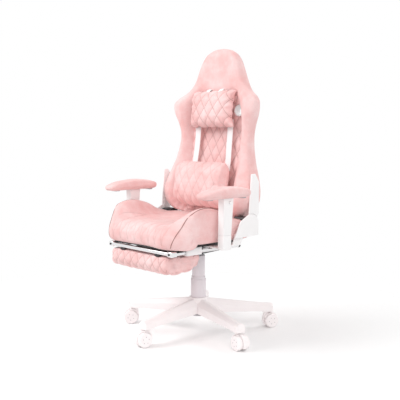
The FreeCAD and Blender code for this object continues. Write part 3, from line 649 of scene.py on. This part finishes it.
def back_inlay():
    """Quilted panel that lines the recess between the wings."""
    rows = []
    for z, _, _, _, recess_half, recess in BACK_STATIONS[2:17]:
        edge = recess_half + 4
        rows.append([(-edge, recess + 8, z), (-edge + 1, recess - 3, z), (-edge + 8, recess - 7, z),
                     (-edge * 0.5, recess - 7, z), (0, recess - 6.5, z), (edge * 0.5, recess - 7, z),
                     (edge - 8, recess - 7, z), (edge - 1, recess - 3, z), (edge, recess + 8, z),
                     (edge * 0.5, recess + 11, z), (0, recess + 11, z), (-edge * 0.5, recess + 11, z)])
    piece = lofted("backrest_quilted_panel", rows, 12, 13, TO_CHAIR, "quilt")
    size = upholstery()
    points = in_piece_frame(coordinates(piece.data), TO_CHAIR)
    first, second = diamonds(points[:, 0], points[:, 2], size.diamond_width / MM, size.diamond_height / MM)
    facing = (normals(piece.data)[:, 1] < -0.3).astype(float)
    press(piece, TO_CHAIR, lambda p, n: puffed(first, second, facing, size.quilt_depth / MM) - 1.0)
    quilt_map(piece, first, second, facing)
    for side in (-1, 1):
        punch(piece, side * HOLE_X)
    finish(piece, "backrest", "velvet", "back_panel", "back_frame", fill=0.8)


def shoulder_bezels():
    """Oval collars with a rolled lip, front and rear, that line the strap holes."""
    bpy.ops.object.select_all(action="DESELECT")
    bpy.ops.mesh.primitive_cylinder_add(vertices=64, radius=1.0, depth=1.0, end_fill_type="NOTHING")
    collar = bpy.context.object
    collar.name = "shoulder_bezels"
    shape = Matrix.Diagonal((HOLE_RX * MM, HOLE_RZ * MM, BEZEL_DEPTH * MM, 1.0))
    stand = Matrix.Rotation(math.radians(90), 4, "X")
    collar.data.transform(Matrix.Translation((0, BEZEL_Y * MM, 0)) @ stand @ shape)
    bpy.ops.object.modifier_add(type="SOLIDIFY")
    wall = collar.modifiers[-1]
    wall.thickness = 4.2 * MM
    wall.offset = 0.0
    bpy.ops.object.modifier_apply(modifier=wall.name)
    bpy.ops.object.modifier_add(type="BEVEL")
    lip = collar.modifiers[-1]
    lip.width = 1.9 * MM
    lip.segments = 4
    lip.limit_method = "ANGLE"
    bpy.ops.object.modifier_apply(modifier=lip.name)
    other = collar.data.copy()
    collar.data.transform(TO_CHAIR @ Matrix.Translation((HOLE_X * MM, 0, HOLE_Z * MM)))
    other.transform(TO_CHAIR @ Matrix.Translation((-HOLE_X * MM, 0, HOLE_Z * MM)))
    twin = bpy.data.objects.new("shoulder_bezel_right", other)
    bpy.context.scene.collection.objects.link(twin)
    only(collar)
    twin.select_set(True)
    bpy.ops.object.join()
    collar.data.materials.clear()
    collar.data.materials.append(MATERIALS["white_plastic"])
    collar.data.shade_smooth()
    finish(collar, "backrest", "white_plastic", "shoulder_bezels")


# ---- pillows ----
def pillow_rings(z0, z1, half, waist, front, rear, rear_half, horn):
    """Stations from bottom to top; horn draws the four corners out to points."""
    rings = []
    steps = 11
    for i in range(steps):
        t = -1 + 2 * i / (steps - 1)
        edge = abs(t)
        full = max(0.0, 1 - edge ** 3.2) ** 0.5
        width = half - 7 * (1 - edge ** 2) * horn + 5 * horn * edge ** 6 - (1 - horn) * 22 * edge ** 5
        z = (z0 + z1) / 2 + t * (z1 - z0) / 2
        mid = waist
        f = mid + (front - mid) * max(full, 0.10)
        r = mid + (rear - mid) * max(full, 0.10)
        droop = (4.0 * horn) * t
        boxy = 1 - horn
        ring = [(0, f, z - droop), (width * 0.45, f + (mid - f) * 0.03, z - droop * 0.5),
                (width * (0.78 + 0.12 * boxy), f + (mid - f) * 0.24 * (1 - 0.5 * boxy), z),
                (width * (0.95 + 0.04 * boxy), f + (mid - f) * 0.66 * (1 - 0.4 * boxy), z),
                (width, mid, z), (width * (0.93 + 0.05 * boxy), mid + (r - mid) * 0.4, z),
                (rear_half, mid + (r - mid) * 0.93, z), (rear_half * 0.5, r, z)]
        ring += [(0, r, z)] + [(-x, y, q) for x, y, q in reversed(ring[1:])]
        rings.append(ring)
    return rings


def head_pillow():
    piece = lofted("neck_pillow", pillow_rings(394, 552, 128, -8, -43, 3, 70, 1.0), 6, 6, TO_CHAIR, "quilt")
    inflated(piece, 3.0, 5.0)
    subdivided(piece)
    width, height = 52.0, 70.0

    def surface(points, out):
        x, _, z = points.T
        front = (out[:, 1] < -0.15).astype(float)
        first, second = diamonds(x + 16, z - 475, width, height)
        reach = np.clip((np.abs(x) - 72) / 45, 0, 1)
        angle = np.arctan2(z - 475, np.abs(x) - 40)
        folds = reach * np.sin(angle * 17) * 1.7 * bell(np.abs(x) - 108, 34)
        return puffed(first, second, front, 4.2) + folds + 0.5 * ripples(points, 4.0, 30)

    points = in_piece_frame(coordinates(piece.data), TO_CHAIR)
    front = (normals(piece.data)[:, 1] < -0.15).astype(float)
    first, second = diamonds(points[:, 0] + 16, points[:, 2] - 475, width, height)
    press(piece, TO_CHAIR, surface)
    quilt_map(piece, first, second, front)
    finish(piece, "head", "velvet", "head_pillow", fill=0.8)


def lumbar_pillow():
    piece = lofted("lumbar_cushion", pillow_rings(54, 246, 146, -30, -86, 0, 118, 0.0), 6, 7,
                   TO_CHAIR, "faint_quilt")
    inflated(piece, 3.0, 5.0)
    subdivided(piece)
    width, height = 48.0, 84.0

    def pattern(points):
        x, y, z = points.T
        return diamonds(x, z + y * 0.35, width, height)

    points = in_piece_frame(coordinates(piece.data), TO_CHAIR)
    out = normals(piece.data)
    front = ((out[:, 1] < -0.25) & (np.abs(points[:, 0]) < 122)).astype(float)
    first, second = pattern(points)
    press(piece, TO_CHAIR, lambda p, n: puffed(first, second, front, 3.0) + 0.8 * ripples(p, 2.0, 45))
    quilt_map(piece, first, second, front)
    finish(piece, "lumbar", "velvet", "lumbar_pillow", fill=0.8)


def pillow_straps():
    """Two elastic straps from the top of the neck pillow to the lumbar cushion."""
    half = upholstery().strap_width / MM / 2
    rings = []
    for z, y in ((212, 9), (236, 7), (262, 8), (320, 9), (380, 8), (404, 6), (430, 5)):
        rings.append([(-half, y - 0.7, z), (0, y - 1.0, z), (half, y - 0.7, z),
                      (half, y + 0.7, z), (0, y + 1.0, z), (-half, y + 0.7, z)])
    pieces = []
    for side in (-1, 1):
        shifted = [[(x + side * 101 - side * 3 * (z > 300), y, z) for x, y, z in ring] for ring in rings]
        pieces.append(lofted("strap_%d" % side, shifted, 3, 6, TO_CHAIR, "strap"))
    for side, x in ((-1, -30), (1, 46)):
        hump = []
        for z, y in ((536, 8), (550, 4), (558, -2), (560, -9), (555, -17), (546, -24)):
            hump.append([(x - 10, y, z - 2), (x, y - 0.5, z), (x + 10, y, z - 2),
                         (x + 10, y + 2, z - 4), (x, y + 1.8, z - 2), (x - 10, y + 2, z - 4)])
        pieces.append(lofted("strap_top_%d" % side, hump, 3, 5, TO_CHAIR, "strap"))
    only(pieces[0])
    for piece in pieces[1:2]:
        piece.select_set(True)
    bpy.ops.object.join()
    straps = bpy.context.object
    straps.name = "pillow_straps_long"
    finish(straps, "backrest", "strap", "pillow_straps")
    only(pieces[2])
    pieces[3].select_set(True)
    bpy.ops.object.join()
    loops = bpy.context.object
    loops.name = "neck_pillow_loops"
    finish(loops, "head", "strap")


# ---- seat ----
SEAT_LOW = 441.0
# across, front reach, and the top line at eight places from front to rear
SEAT_TOPS = (
    (0, 0, (484, 503, 512, 513, 511, 511, 517, 525)),
    (80, 3, (484, 503, 512, 513, 511, 511, 517, 525)),
    (140, 8, (486, 506, 516, 518, 516, 514, 518, 525)),
    (180, 4, (489, 515, 535, 544, 541, 528, 522, 524)),
    (212, -14, (496, 530, 552, 570, 575, 556, 529, 518)),
    (230, -30, (502, 538, 556, 574, 581, 564, 534, 518)),
)
SEAT_YS = (-322, -306, -282, -232, -172, -100, -40, 30)


def seat_ring(x, reach, tops, inset):
    """Outline in the fore-and-aft plane, pulled in by inset towards its middle."""
    y0 = -328 - reach
    skirt = SEAT_LOW - 17
    pts = [(y0 + 36, skirt + 1), (y0 + 16, skirt - 1), (y0 + 3, skirt + 8), (y0 - 3, skirt + 26),
           (y0 - 3, SEAT_LOW + 30)]
    pts += [(y + (-reach if i < 2 else -reach * 0.5 if i == 2 else 0), top)
            for i, (y, top) in enumerate(zip(SEAT_YS, tops))]
    pts += [(52, tops[-1] - 9), (59, 480), (54, SEAT_LOW + 4), (-60, SEAT_LOW), (-190, SEAT_LOW),
            (-278, SEAT_LOW)]
    middle_y, middle_z = -140.0, 486.0
    ring = []
    for y, z in pts:
        span_y = max(abs(y - middle_y), 1.0)
        span_z = max(abs(z - middle_z), 1.0)
        step_y = min(inset, span_y) * (1 if middle_y > y else -1)
        step_z = min(inset * 0.8, span_z * 0.8) * (1 if middle_z > z else -1)
        near_end = min(1.0, span_y / 190.0)
        ring.append((x, y + step_y * near_end ** 2, z + step_z))
    return ring


def seat_cover():
    halves = [seat_ring(x, reach, tops, 0.0) for x, reach, tops in SEAT_TOPS]
    last = SEAT_TOPS[-1]
    for x, inset in ((237, 2.5), (243, 7), (247.5, 15), (249.5, 27), (250, 46)):
        halves.append(seat_ring(x, last[1] - (x - 230) * 0.8, last[2], inset))
    mirrored = [[(-x, y, z) for x, y, z in ring] for ring in reversed(halves[1:])]
    piece = lofted("seat_cover", mirrored + halves, 6, 7, UPRIGHT, "faint_quilt")
    pitch_x, pitch_v = 22.0, 110.0

    def pattern(points):
        x, y, z = points.T
        down = np.where(y < -290, 512 - z, 0) - (y + 290) * 0.8
        return diamonds(x, down, pitch_x * 2, pitch_v * 2)

    points = in_piece_frame(coordinates(piece.data), UPRIGHT)
    out = normals(piece.data)
    x, y, z = points.T
    first, second = pattern(points)
    front = ((np.abs(x) < 178) & (y < -150) & (z > 440) & (out[:, 2] > -0.6)).astype(float)

    def surface(p, n):
        x, y, z = p.T
        fade = np.clip((-150 - y) / 90, 0, 1) * np.clip((190 - np.abs(x)) / 20, 0, 1)
        lines = np.minimum(np.abs(first - np.round(first)), np.abs(second - np.round(second)))
        channels = -1.8 * fade * bell(lines, 0.08) * (z > 447) * (n[:, 2] > -0.6)
        side = np.clip((np.abs(x) - 238) / 6, 0, 1)
        folds = side * 1.6 * np.sin(z * 0.10 + y * 0.035) * bell(y + 190, 90)
        rear_seam = -3.0 * bell(np.abs(x) - 160, 5) * np.clip((y + 190) / 60, 0, 1) * (n[:, 2] > 0.2)
        return channels + folds + rear_seam + 1.1 * ripples(p, 5.0, 75)

    press(piece, UPRIGHT, surface)
    quilt_map(piece, first, second, front)
    finish(piece, "seat", "velvet", "seat_cushion", "seat_bolster_left", "seat_bolster_right", fill=0.75)


def settled(cover, points, side):
    """The points in millimetres, brought to the nearest place on the cover."""
    place = UPRIGHT.inverted()
    on_cover = []
    for x, y, z in points:
        found, where, _, _ = cover.closest_point_on_mesh(UPRIGHT @ (Vector((side * x, y, z)) * MM))
        if not found:
            raise RuntimeError("a seam point is off the seat cover")
        on_cover.append(tuple((place @ where) / MM))
    return on_cover


def seat_seams():
    """Piping along the outer edge of each bolster."""
    cover = bpy.data.objects["seat_cover"]
    radius = upholstery().piping_radius
    edge = ((196, -333, 428), (203, -332, 450), (214, -322, 482), (225, -302, 514), (232, -282, 544),
            (236, -255, 563), (237, -215, 579), (237, -172, 581), (237, -135, 573), (237, -100, 563),
            (237, -56, 541), (237, -10, 526), (236, 40, 518))
    pieces = []
    for side in (-1, 1):
        pieces.append(tube_along("piping_%d" % side, settled(cover, edge, side), radius, UPRIGHT, "thread_and_shade"))
    only(pieces[0])
    for piece in pieces[1:]:
        piece.select_set(True)
    bpy.ops.object.join()
    seams = bpy.context.object
    seams.name = "seat_piping"
    finish(seams, "seat", "velvet")


# ---- armrests and footrest ----
def armrest_pads():
    stations = ((-269, 628, 633, 6), (-266, 623, 638, 18), (-257, 620, 643, 28), (-238, 619, 650, 35),
                (-200, 620, 659, 40), (-140, 621, 665, 42), (-90, 621, 664, 42), (-56, 621, 660, 39),
                (-30, 622, 655, 33), (-14, 625, 650, 24), (-7, 631, 643, 9))
    for side, word in ((1, "left"), (-1, "right")):
        centre = side * 290.0
        rings = []
        for y, low, top, half in stations:
            mid = (low + top) / 2
            rings.append([(centre - half * 0.6, y, low), (centre, y, low), (centre + half * 0.6, y, low),
                          (centre + half * 0.95, y, low + (mid - low) * 0.45), (centre + half, y, mid + 2),
                          (centre + half * 0.84, y, top - (top - mid) * 0.28),
                          (centre + half * 0.4, y, top - 1),
                          (centre, y, top), (centre - half * 0.4, y, top - 1),
                          (centre - half * 0.84, y, top - (top - mid) * 0.28), (centre - half, y, mid + 2),
                          (centre - half * 0.95, y, low + (mid - low) * 0.45)])
        piece = lofted("armrest_cushion_" + word, rings, 5, 7, UPRIGHT, "arm_pad")

        def seam(points, out):
            return (-1.4 * bell(points[:, 2] - 630 - (points[:, 1] + 140) ** 2 * -0.0004, 2.6)
                    * (np.abs(out[:, 2]) < 0.75) + 0.35 * ripples(points, 7.0, 28))

        press(piece, UPRIGHT, seam)
        finish(piece, "arm_" + word, "arm_pad", "armrest_pad_" + word, fill=0.9)
        plates = []
        for y0, y1 in ((-238, -212), (-50, -32)):
            bpy.ops.object.select_all(action="DESELECT")
            bpy.ops.mesh.primitive_cube_add(size=1.0)
            plate = bpy.context.object
            plate.data.transform(UPRIGHT @ Matrix.Translation((centre * MM, (y0 + y1) / 2 * MM, 0.6195))
                                 @ Matrix.Diagonal((0.034, (y1 - y0) * MM, 0.007, 1)))
            plate.data.materials.append(MATERIALS["grey_plastic"])
            bpy.ops.object.modifier_add(type="BEVEL")
            plate.modifiers[-1].width = 0.0025
            plate.modifiers[-1].segments = 3
            bpy.ops.object.modifier_apply(modifier=plate.modifiers[-1].name)
            plates.append(plate)
        only(plates[0])
        plates[1].select_set(True)
        bpy.ops.object.join()
        plates[0].name = "armrest_underplates_" + word
        finish(plates[0], "arm_" + word, "grey_plastic")


def footrest_cushion():
    half_front = [(y, z) for y, z in ((-322, 394), (-334, 386), (-337, 366), (-335, 344), (-322, 328),
                                      (-290, 322), (-245, 323), (-205, 328), (-172, 342), (-155, 362),
                                      (-151, 380), (-160, 393), (-200, 394.5), (-262, 394.5))]
    middle_y, middle_z = -245.0, 358.0
    rings = []
    for x, keep in ((-178, 0.42), (-176.5, 0.70), (-171, 0.88), (-160, 0.965), (-140, 0.995), (-90, 1.0),
                    (0, 1.0), (90, 1.0), (140, 0.995), (160, 0.965), (171, 0.88), (176.5, 0.70), (178, 0.42)):
        rings.append([(x, middle_y + (y - middle_y) * (0.55 + 0.45 * keep), middle_z + (z - middle_z) * keep)
                      for y, z in half_front])
    piece = lofted("footrest_cushion", rings, 6, 7, UPRIGHT, "quilt")
    inflated(piece, 2.0, 2.0)
    subdivided(piece)
    points = in_piece_frame(coordinates(piece.data), UPRIGHT)
    out = normals(piece.data)
    x, y, z = points.T
    run = np.where(y < -300, 394 - z, (y + 300) * 0.9 + 72)
    first, second = diamonds(x + 12, run, 44.0, 62.0)
    quilted = ((np.abs(out[:, 0]) < 0.8) & (z < 391)).astype(float)
    ends = ((np.abs(out[:, 0]) >= 0.8) & (z < 391)).astype(float)
    press(piece, UPRIGHT, lambda p, n: puffed(first, second, quilted, 5.0)
          + ends * 2.0 * np.sin(p[:, 1] * 0.11 + p[:, 2] * 0.05) + 0.7 * ripples(p, 3.0, 40) - 2.5)
    quilt_map(piece, first, second, quilted)
    finish(piece, "footrest", "velvet", "footrest_pad", fill=0.8)


def bevelled_block(name, low, high, width, material):
    bpy.ops.object.select_all(action="DESELECT")
    bpy.ops.mesh.primitive_cube_add(size=1.0)
    block = bpy.context.object
    block.name = name
    middle = (Vector(low) + Vector(high)) / 2 * MM
    size = (Vector(high) - Vector(low)) * MM
    block.data.transform(UPRIGHT @ Matrix.Translation(middle) @ Matrix.Diagonal((*size, 1.0)))
    block.data.materials.append(MATERIALS[material])
    bpy.ops.object.modifier_add(type="BEVEL")
    block.modifiers[-1].width = width * MM
    block.modifiers[-1].segments = 4
    bpy.ops.object.modifier_apply(modifier=block.modifiers[-1].name)
    bpy.ops.object.shade_smooth_by_angle(angle=math.radians(40))
    return block


def hinge_gap_shade_blocks():
    """Black boots between the seat and the lobes of the backrest, over the recliner joints."""
    # Black blocks as painted shade in the gap between the seat and each backrest lobe.
    shade_blocks = [bevelled_block("hinge_gap_shade_blocks", (min(side * 196, side * 256), 8, 505),
                            (max(side * 196, side * 256), 56, 531), 7, "black_plastic") for side in (-1, 1)]
    only(shade_blocks[0])
    shade_blocks[1].select_set(True)
    bpy.ops.object.join()
    finish(shade_blocks[0], "seat", "black_plastic")


def under_seat_shade():
    """Dust cover under the front of the seat, above the footrest rails."""
    # A black sheet as painted shade under the seat front.
    shade_sheet = bevelled_block("under_seat_shade_sheet", (-172, -318, 419), (172, -130, 427.4), 3, "black_plastic")
    finish(shade_sheet, "seat", "black_plastic")


def footrest_bar():
    """Flat front bar with a screwed corner block at each end."""
    parts = [bevelled_block("footrest_front_bar", (-186, -326, 401), (186, -308, 415), 3.5, "chrome")]
    for side in (-1, 1):
        x0, x1 = sorted((side * 172, side * 200))
        parts.append(bevelled_block("corner", (x0, -328, 397), (x1, -296, 419), 5, "chrome"))
        bpy.ops.object.select_all(action="DESELECT")
        bpy.ops.mesh.primitive_cylinder_add(vertices=24, radius=0.0042, depth=0.003)
        screw = bpy.context.object
        screw.data.transform(UPRIGHT @ Matrix.Translation((side * 0.186, -0.3288, 0.408))
                             @ Matrix.Rotation(math.radians(90), 4, "X"))
        screw.data.materials.append(MATERIALS["black_steel"])
        parts.append(screw)
    only(parts[0])
    for part in parts[1:]:
        part.select_set(True)
    bpy.ops.object.join()
    finish(parts[0], "footrest_frame", "chrome", "footrest_cross_bar")
    hangers = [bevelled_block("footrest_hangers", (x - 13, -326, 392), (x + 13, -306, 401.5), 2,
                              "black_plastic")
               for x in (-110, 110)]
    only(hangers[0])
    hangers[1].select_set(True)
    bpy.ops.object.join()
    finish(hangers[0], "footrest", "black_plastic", "footrest_clips")


# ---- hard parts ----
SOFTENED = (
    # node, body, finish, edge rounding
    ("star_base", "base", "base_white", 4.0), ("hub_bottom_cap", "base", "grey_plastic", 2.0),
    ("column_cover_lower", "base", "column_white", 0.7),
    ("column_cover_middle", "cover_middle", "column_white", 0.7),
    ("column_cover_upper", "gas_rod", "column_white", 0.7),
    ("armrest_sleeve_left", "arm_left", "white_plastic", 2.5),
    ("armrest_sleeve_right", "arm_right", "white_plastic", 2.5),
    ("armrest_button_left", "arm_button_left", "white_plastic", 0.6),
    ("armrest_button_right", "arm_button_right", "white_plastic", 0.6),
    ("armrest_bracket_left", "seat", "white_plastic", 4.0),
    ("armrest_bracket_right", "seat", "white_plastic", 4.0),
    ("side_cover_lower_left", "seat", "white_plastic", 2.2),
    ("side_cover_lower_right", "seat", "white_plastic", 2.2),
    ("side_cover_upper_left", "backrest", "white_plastic", 2.2),
    ("side_cover_upper_right", "backrest", "white_plastic", 2.2),
    ("footrest_guides", "seat", "white_plastic", 3.0),
    ("recliner_arms", "backrest", "white_plastic", 1.2), ("recliner_bases", "seat", "white_plastic", 1.2),
    ("tilt_housing", "mechanism", "black_steel", 2.5), ("tension_knob", "knob", "black_plastic", 1.5),
    ("lift_lever", "lever", "black_steel", 3.0), ("recline_lever", "recline_release", "black_plastic", 3.0),
)


def softened(node, body, slot, width):
    """The construction part with its edges rounded as the moulding or casting has them."""
    source = frame["nodes"][node]
    piece = bpy.data.objects.new(node + "_shell", source.data.copy())
    bpy.context.scene.collection.objects.link(piece)
    only(piece)
    bpy.ops.object.mode_set(mode="EDIT")
    bpy.ops.mesh.select_all(action="SELECT")
    bpy.ops.mesh.remove_doubles(threshold=0.00002)
    bpy.ops.mesh.dissolve_limited(angle_limit=math.radians(3.0))
    bpy.ops.object.mode_set(mode="OBJECT")
    bpy.ops.object.modifier_add(type="BEVEL")
    edge = piece.modifiers[-1]
    edge.width = width * MM
    edge.segments = 3
    edge.limit_method = "ANGLE"
    edge.angle_limit = math.radians(35)
    bpy.ops.object.modifier_apply(modifier=edge.name)
    bpy.ops.object.shade_smooth_by_angle(angle=math.radians(35))
    piece.data.materials.clear()
    piece.data.materials.append(MATERIALS[slot])
    finish(piece, body, slot, node)


def caster_pieces():
    """Caster housings with softened edges, and five small dimple marks on each wheel face."""
    for number in range(1, 6):
        softened("caster_%d_housing" % number, "caster_%d" % number, "caster_white", 1.0)
        joint = next(j for j in frame["joints"] if j["name"] == "caster_%d_roll" % number)
        axle = Vector(joint["axis"]).normalized()
        centre = Vector(joint["pos_m"])
        marks = []
        for side in (-1, 1):
            for k in range(5):
                angle = 2 * math.pi * k / 5 + 0.4
                bpy.ops.object.select_all(action="DESELECT")
                bpy.ops.mesh.primitive_cylinder_add(vertices=16, radius=0.0017, depth=0.0012)
                mark = bpy.context.object
                bpy.ops.object.modifier_add(type="BEVEL")
                mark.modifiers[-1].width = 0.0003
                bpy.ops.object.modifier_apply(modifier=mark.modifiers[-1].name)
                offset = Vector((math.cos(angle) * 0.0135, math.sin(angle) * 0.0135, side * 0.0262))
                turn = Vector((0, 0, 1)).rotation_difference(axle).to_matrix().to_4x4()
                mark.data.transform(Matrix.Translation(centre) @ turn @ Matrix.Translation(offset))
                # Grey discs as painted shade standing for the hollow dimples.
                mark.data.materials.append(MATERIALS["grey_plastic"])
                marks.append(mark)
        only(marks[0])
        for mark in marks[1:]:
            mark.select_set(True)
        bpy.ops.object.join()
        marks[0].name = "caster_%d_face_marks" % number
        finish(marks[0], "wheels_%d" % number, "grey_plastic")


def dress_construction_parts():
    """Finish of every construction part that stays in view."""
    slots = {entry["node"]: entry["material_slot"] for entry in frame["record"]["subparts"]}
    for node, item in frame["nodes"].items():
        for index in range(max(1, len(item.material_slots))):
            if index < len(item.material_slots):
                item.material_slots[index].material = MATERIALS[slots[node]]


# ---- stage ----
def area_light(name, place, target, size, power, colour=(1, 1, 1)):
    lamp = bpy.data.lights.new(name, "AREA")
    lamp.size = size
    lamp.energy = power
    lamp.color = colour
    holder = bpy.data.objects.new(name, lamp)
    holder.location = place
    holder.rotation_euler = (Vector(target) - Vector(place)).to_track_quat("-Z", "Y").to_euler()
    bpy.context.scene.collection.objects.link(holder)


def stage():
    scene = bpy.context.scene
    world = bpy.data.worlds.new("studio")
    scene.world = world
    world.use_nodes = True
    tree = world.node_tree
    background = tree.nodes["Background"]
    path = tree.nodes.new("ShaderNodeLightPath")
    seen = math_node(tree, "MAXIMUM", path.outputs["Is Camera Ray"], path.outputs["Is Transmission Ray"])
    seen = math_node(tree, "MAXIMUM", seen, math_node(tree, "MULTIPLY", path.outputs["Is Glossy Ray"], 0.9))
    tree.links.new(math_node(tree, "ADD", 0.66, math_node(tree, "MULTIPLY", seen, 0.34)),
                   background.inputs["Strength"])
    background.inputs["Color"].default_value = (1, 1, 1, 1)

    bpy.ops.object.select_all(action="DESELECT")
    bpy.ops.mesh.primitive_circle_add(vertices=96, radius=2.2, fill_type="NGON")
    floor = bpy.context.object
    floor.name = "floor"
    floor.data.transform(Matrix.Translation((0, 0, -0.0006)))
    material = bpy.data.materials.new("pale_floor")
    material.use_nodes = True
    tree = material.node_tree
    shader = tree.nodes["Principled BSDF"]
    shader.inputs["Base Color"].default_value = (0.97, 0.965, 0.965, 1)
    shader.inputs["Roughness"].default_value = 0.7
    shader.inputs["Specular IOR Level"].default_value = 0.1
    place = tree.nodes.new("ShaderNodeTexCoord").outputs["Object"]
    length = tree.nodes.new("ShaderNodeVectorMath")
    length.operation = "LENGTH"
    tree.links.new(place, length.inputs[0])
    fade = ramp(tree, length.outputs["Value"], 1.5, 0.5)
    tree.links.new(fade, shader.inputs["Alpha"])
    floor.data.materials.append(material)

    area_light("key", (-1.6, -2.4, 2.9), (0, 0, 0.6), 2.2, 84)
    area_light("fill", (2.8, -1.2, 1.8), (0, 0, 0.6), 2.6, 34)
    area_light("rim", (0.6, 2.6, 2.6), (0, 0, 0.7), 2.4, 26)

    lens = bpy.data.cameras.new("view")
    lens.lens = 63.5
    lens.sensor_width = 36.0
    lens.shift_x = 0.00275
    camera = bpy.data.objects.new("view", lens)
    heading = Vector((-0.7273, 0.6799, -0.0931)).normalized()
    camera.location = (2.192, -2.049, 0.8485)
    turn = heading.to_track_quat("-Z", "Y").to_matrix().to_4x4()
    camera.rotation_euler = (turn @ Matrix.Rotation(math.radians(0.3), 4, "Z")).to_euler()
    scene.collection.objects.link(camera)
    scene.camera = camera
    scene.view_settings.view_transform = "Standard"


# ---- operators and panel ----
def operator(name, label, text, *steps):
    def execute(self, context):
        for step in steps:
            step()
        return {"FINISHED"}

    return type("CHAIR_OT_" + name, (bpy.types.Operator,),
                {"bl_idname": "chair." + name, "bl_label": label, "__doc__": text,
                 "bl_options": {"REGISTER", "UNDO"}, "execute": execute})


def soften_all():
    for row in SOFTENED:
        softened(*row)


OPERATORS = (
    operator("materials", "Finishes", "Make every finish", build_materials),
    operator("construction", "Construction parts", "Give each construction part its finish",
             dress_construction_parts),
    operator("backrest", "Backrest", "Make the winged cover, the quilted panel and the bezels",
             back_shell, back_inlay, shoulder_bezels),
    operator("pillows", "Pillows", "Make both pillows and their straps",
             head_pillow, lumbar_pillow, pillow_straps),
    operator("seat", "Seat", "Make the seat cover and its seams", seat_cover, seat_seams),
    operator("armrests", "Armrest pads", "Make both armrest cushions", armrest_pads),
    operator("footrest", "Footrest", "Make the footrest cushion and its bar",
             footrest_cushion, under_seat_shade, footrest_bar, hinge_gap_shade_blocks),
    operator("mouldings", "Mouldings", "Round the edges of covers, posts, base and levers", soften_all),
    operator("casters", "Casters", "Make the casters", caster_pieces),
    operator("stage", "Stage", "Make the floor, lamps and camera", stage),
)


class CHAIR_PT_pieces(bpy.types.Panel):
    """Pieces of the chair, in making order"""
    bl_label = "Chair"
    bl_idname = "CHAIR_PT_pieces"
    bl_space_type = "VIEW_3D"
    bl_region_type = "UI"
    bl_category = "Chair"

    def draw(self, context):
        for group in (context.scene.chair_upholstery, context.scene.chair_finishes):
            for name in group.__annotations__:
                self.layout.prop(group, name)
        for item in OPERATORS:
            self.layout.operator(item.bl_idname)


CLASSES = (ChairUpholstery, ChairFinishes, *OPERATORS, CHAIR_PT_pieces)


def register():
    for item in CLASSES:
        bpy.utils.register_class(item)
    bpy.types.Scene.chair_upholstery = bpy.props.PointerProperty(type=ChairUpholstery)
    bpy.types.Scene.chair_finishes = bpy.props.PointerProperty(type=ChairFinishes)


def unregister():
    del bpy.types.Scene.chair_finishes
    del bpy.types.Scene.chair_upholstery
    for item in reversed(CLASSES):
        bpy.utils.unregister_class(item)


def main():
    register()
    for item in OPERATORS:
        getattr(bpy.ops.chair, item.bl_idname.split(".")[1])()


if __name__ == "__main__":
    main()
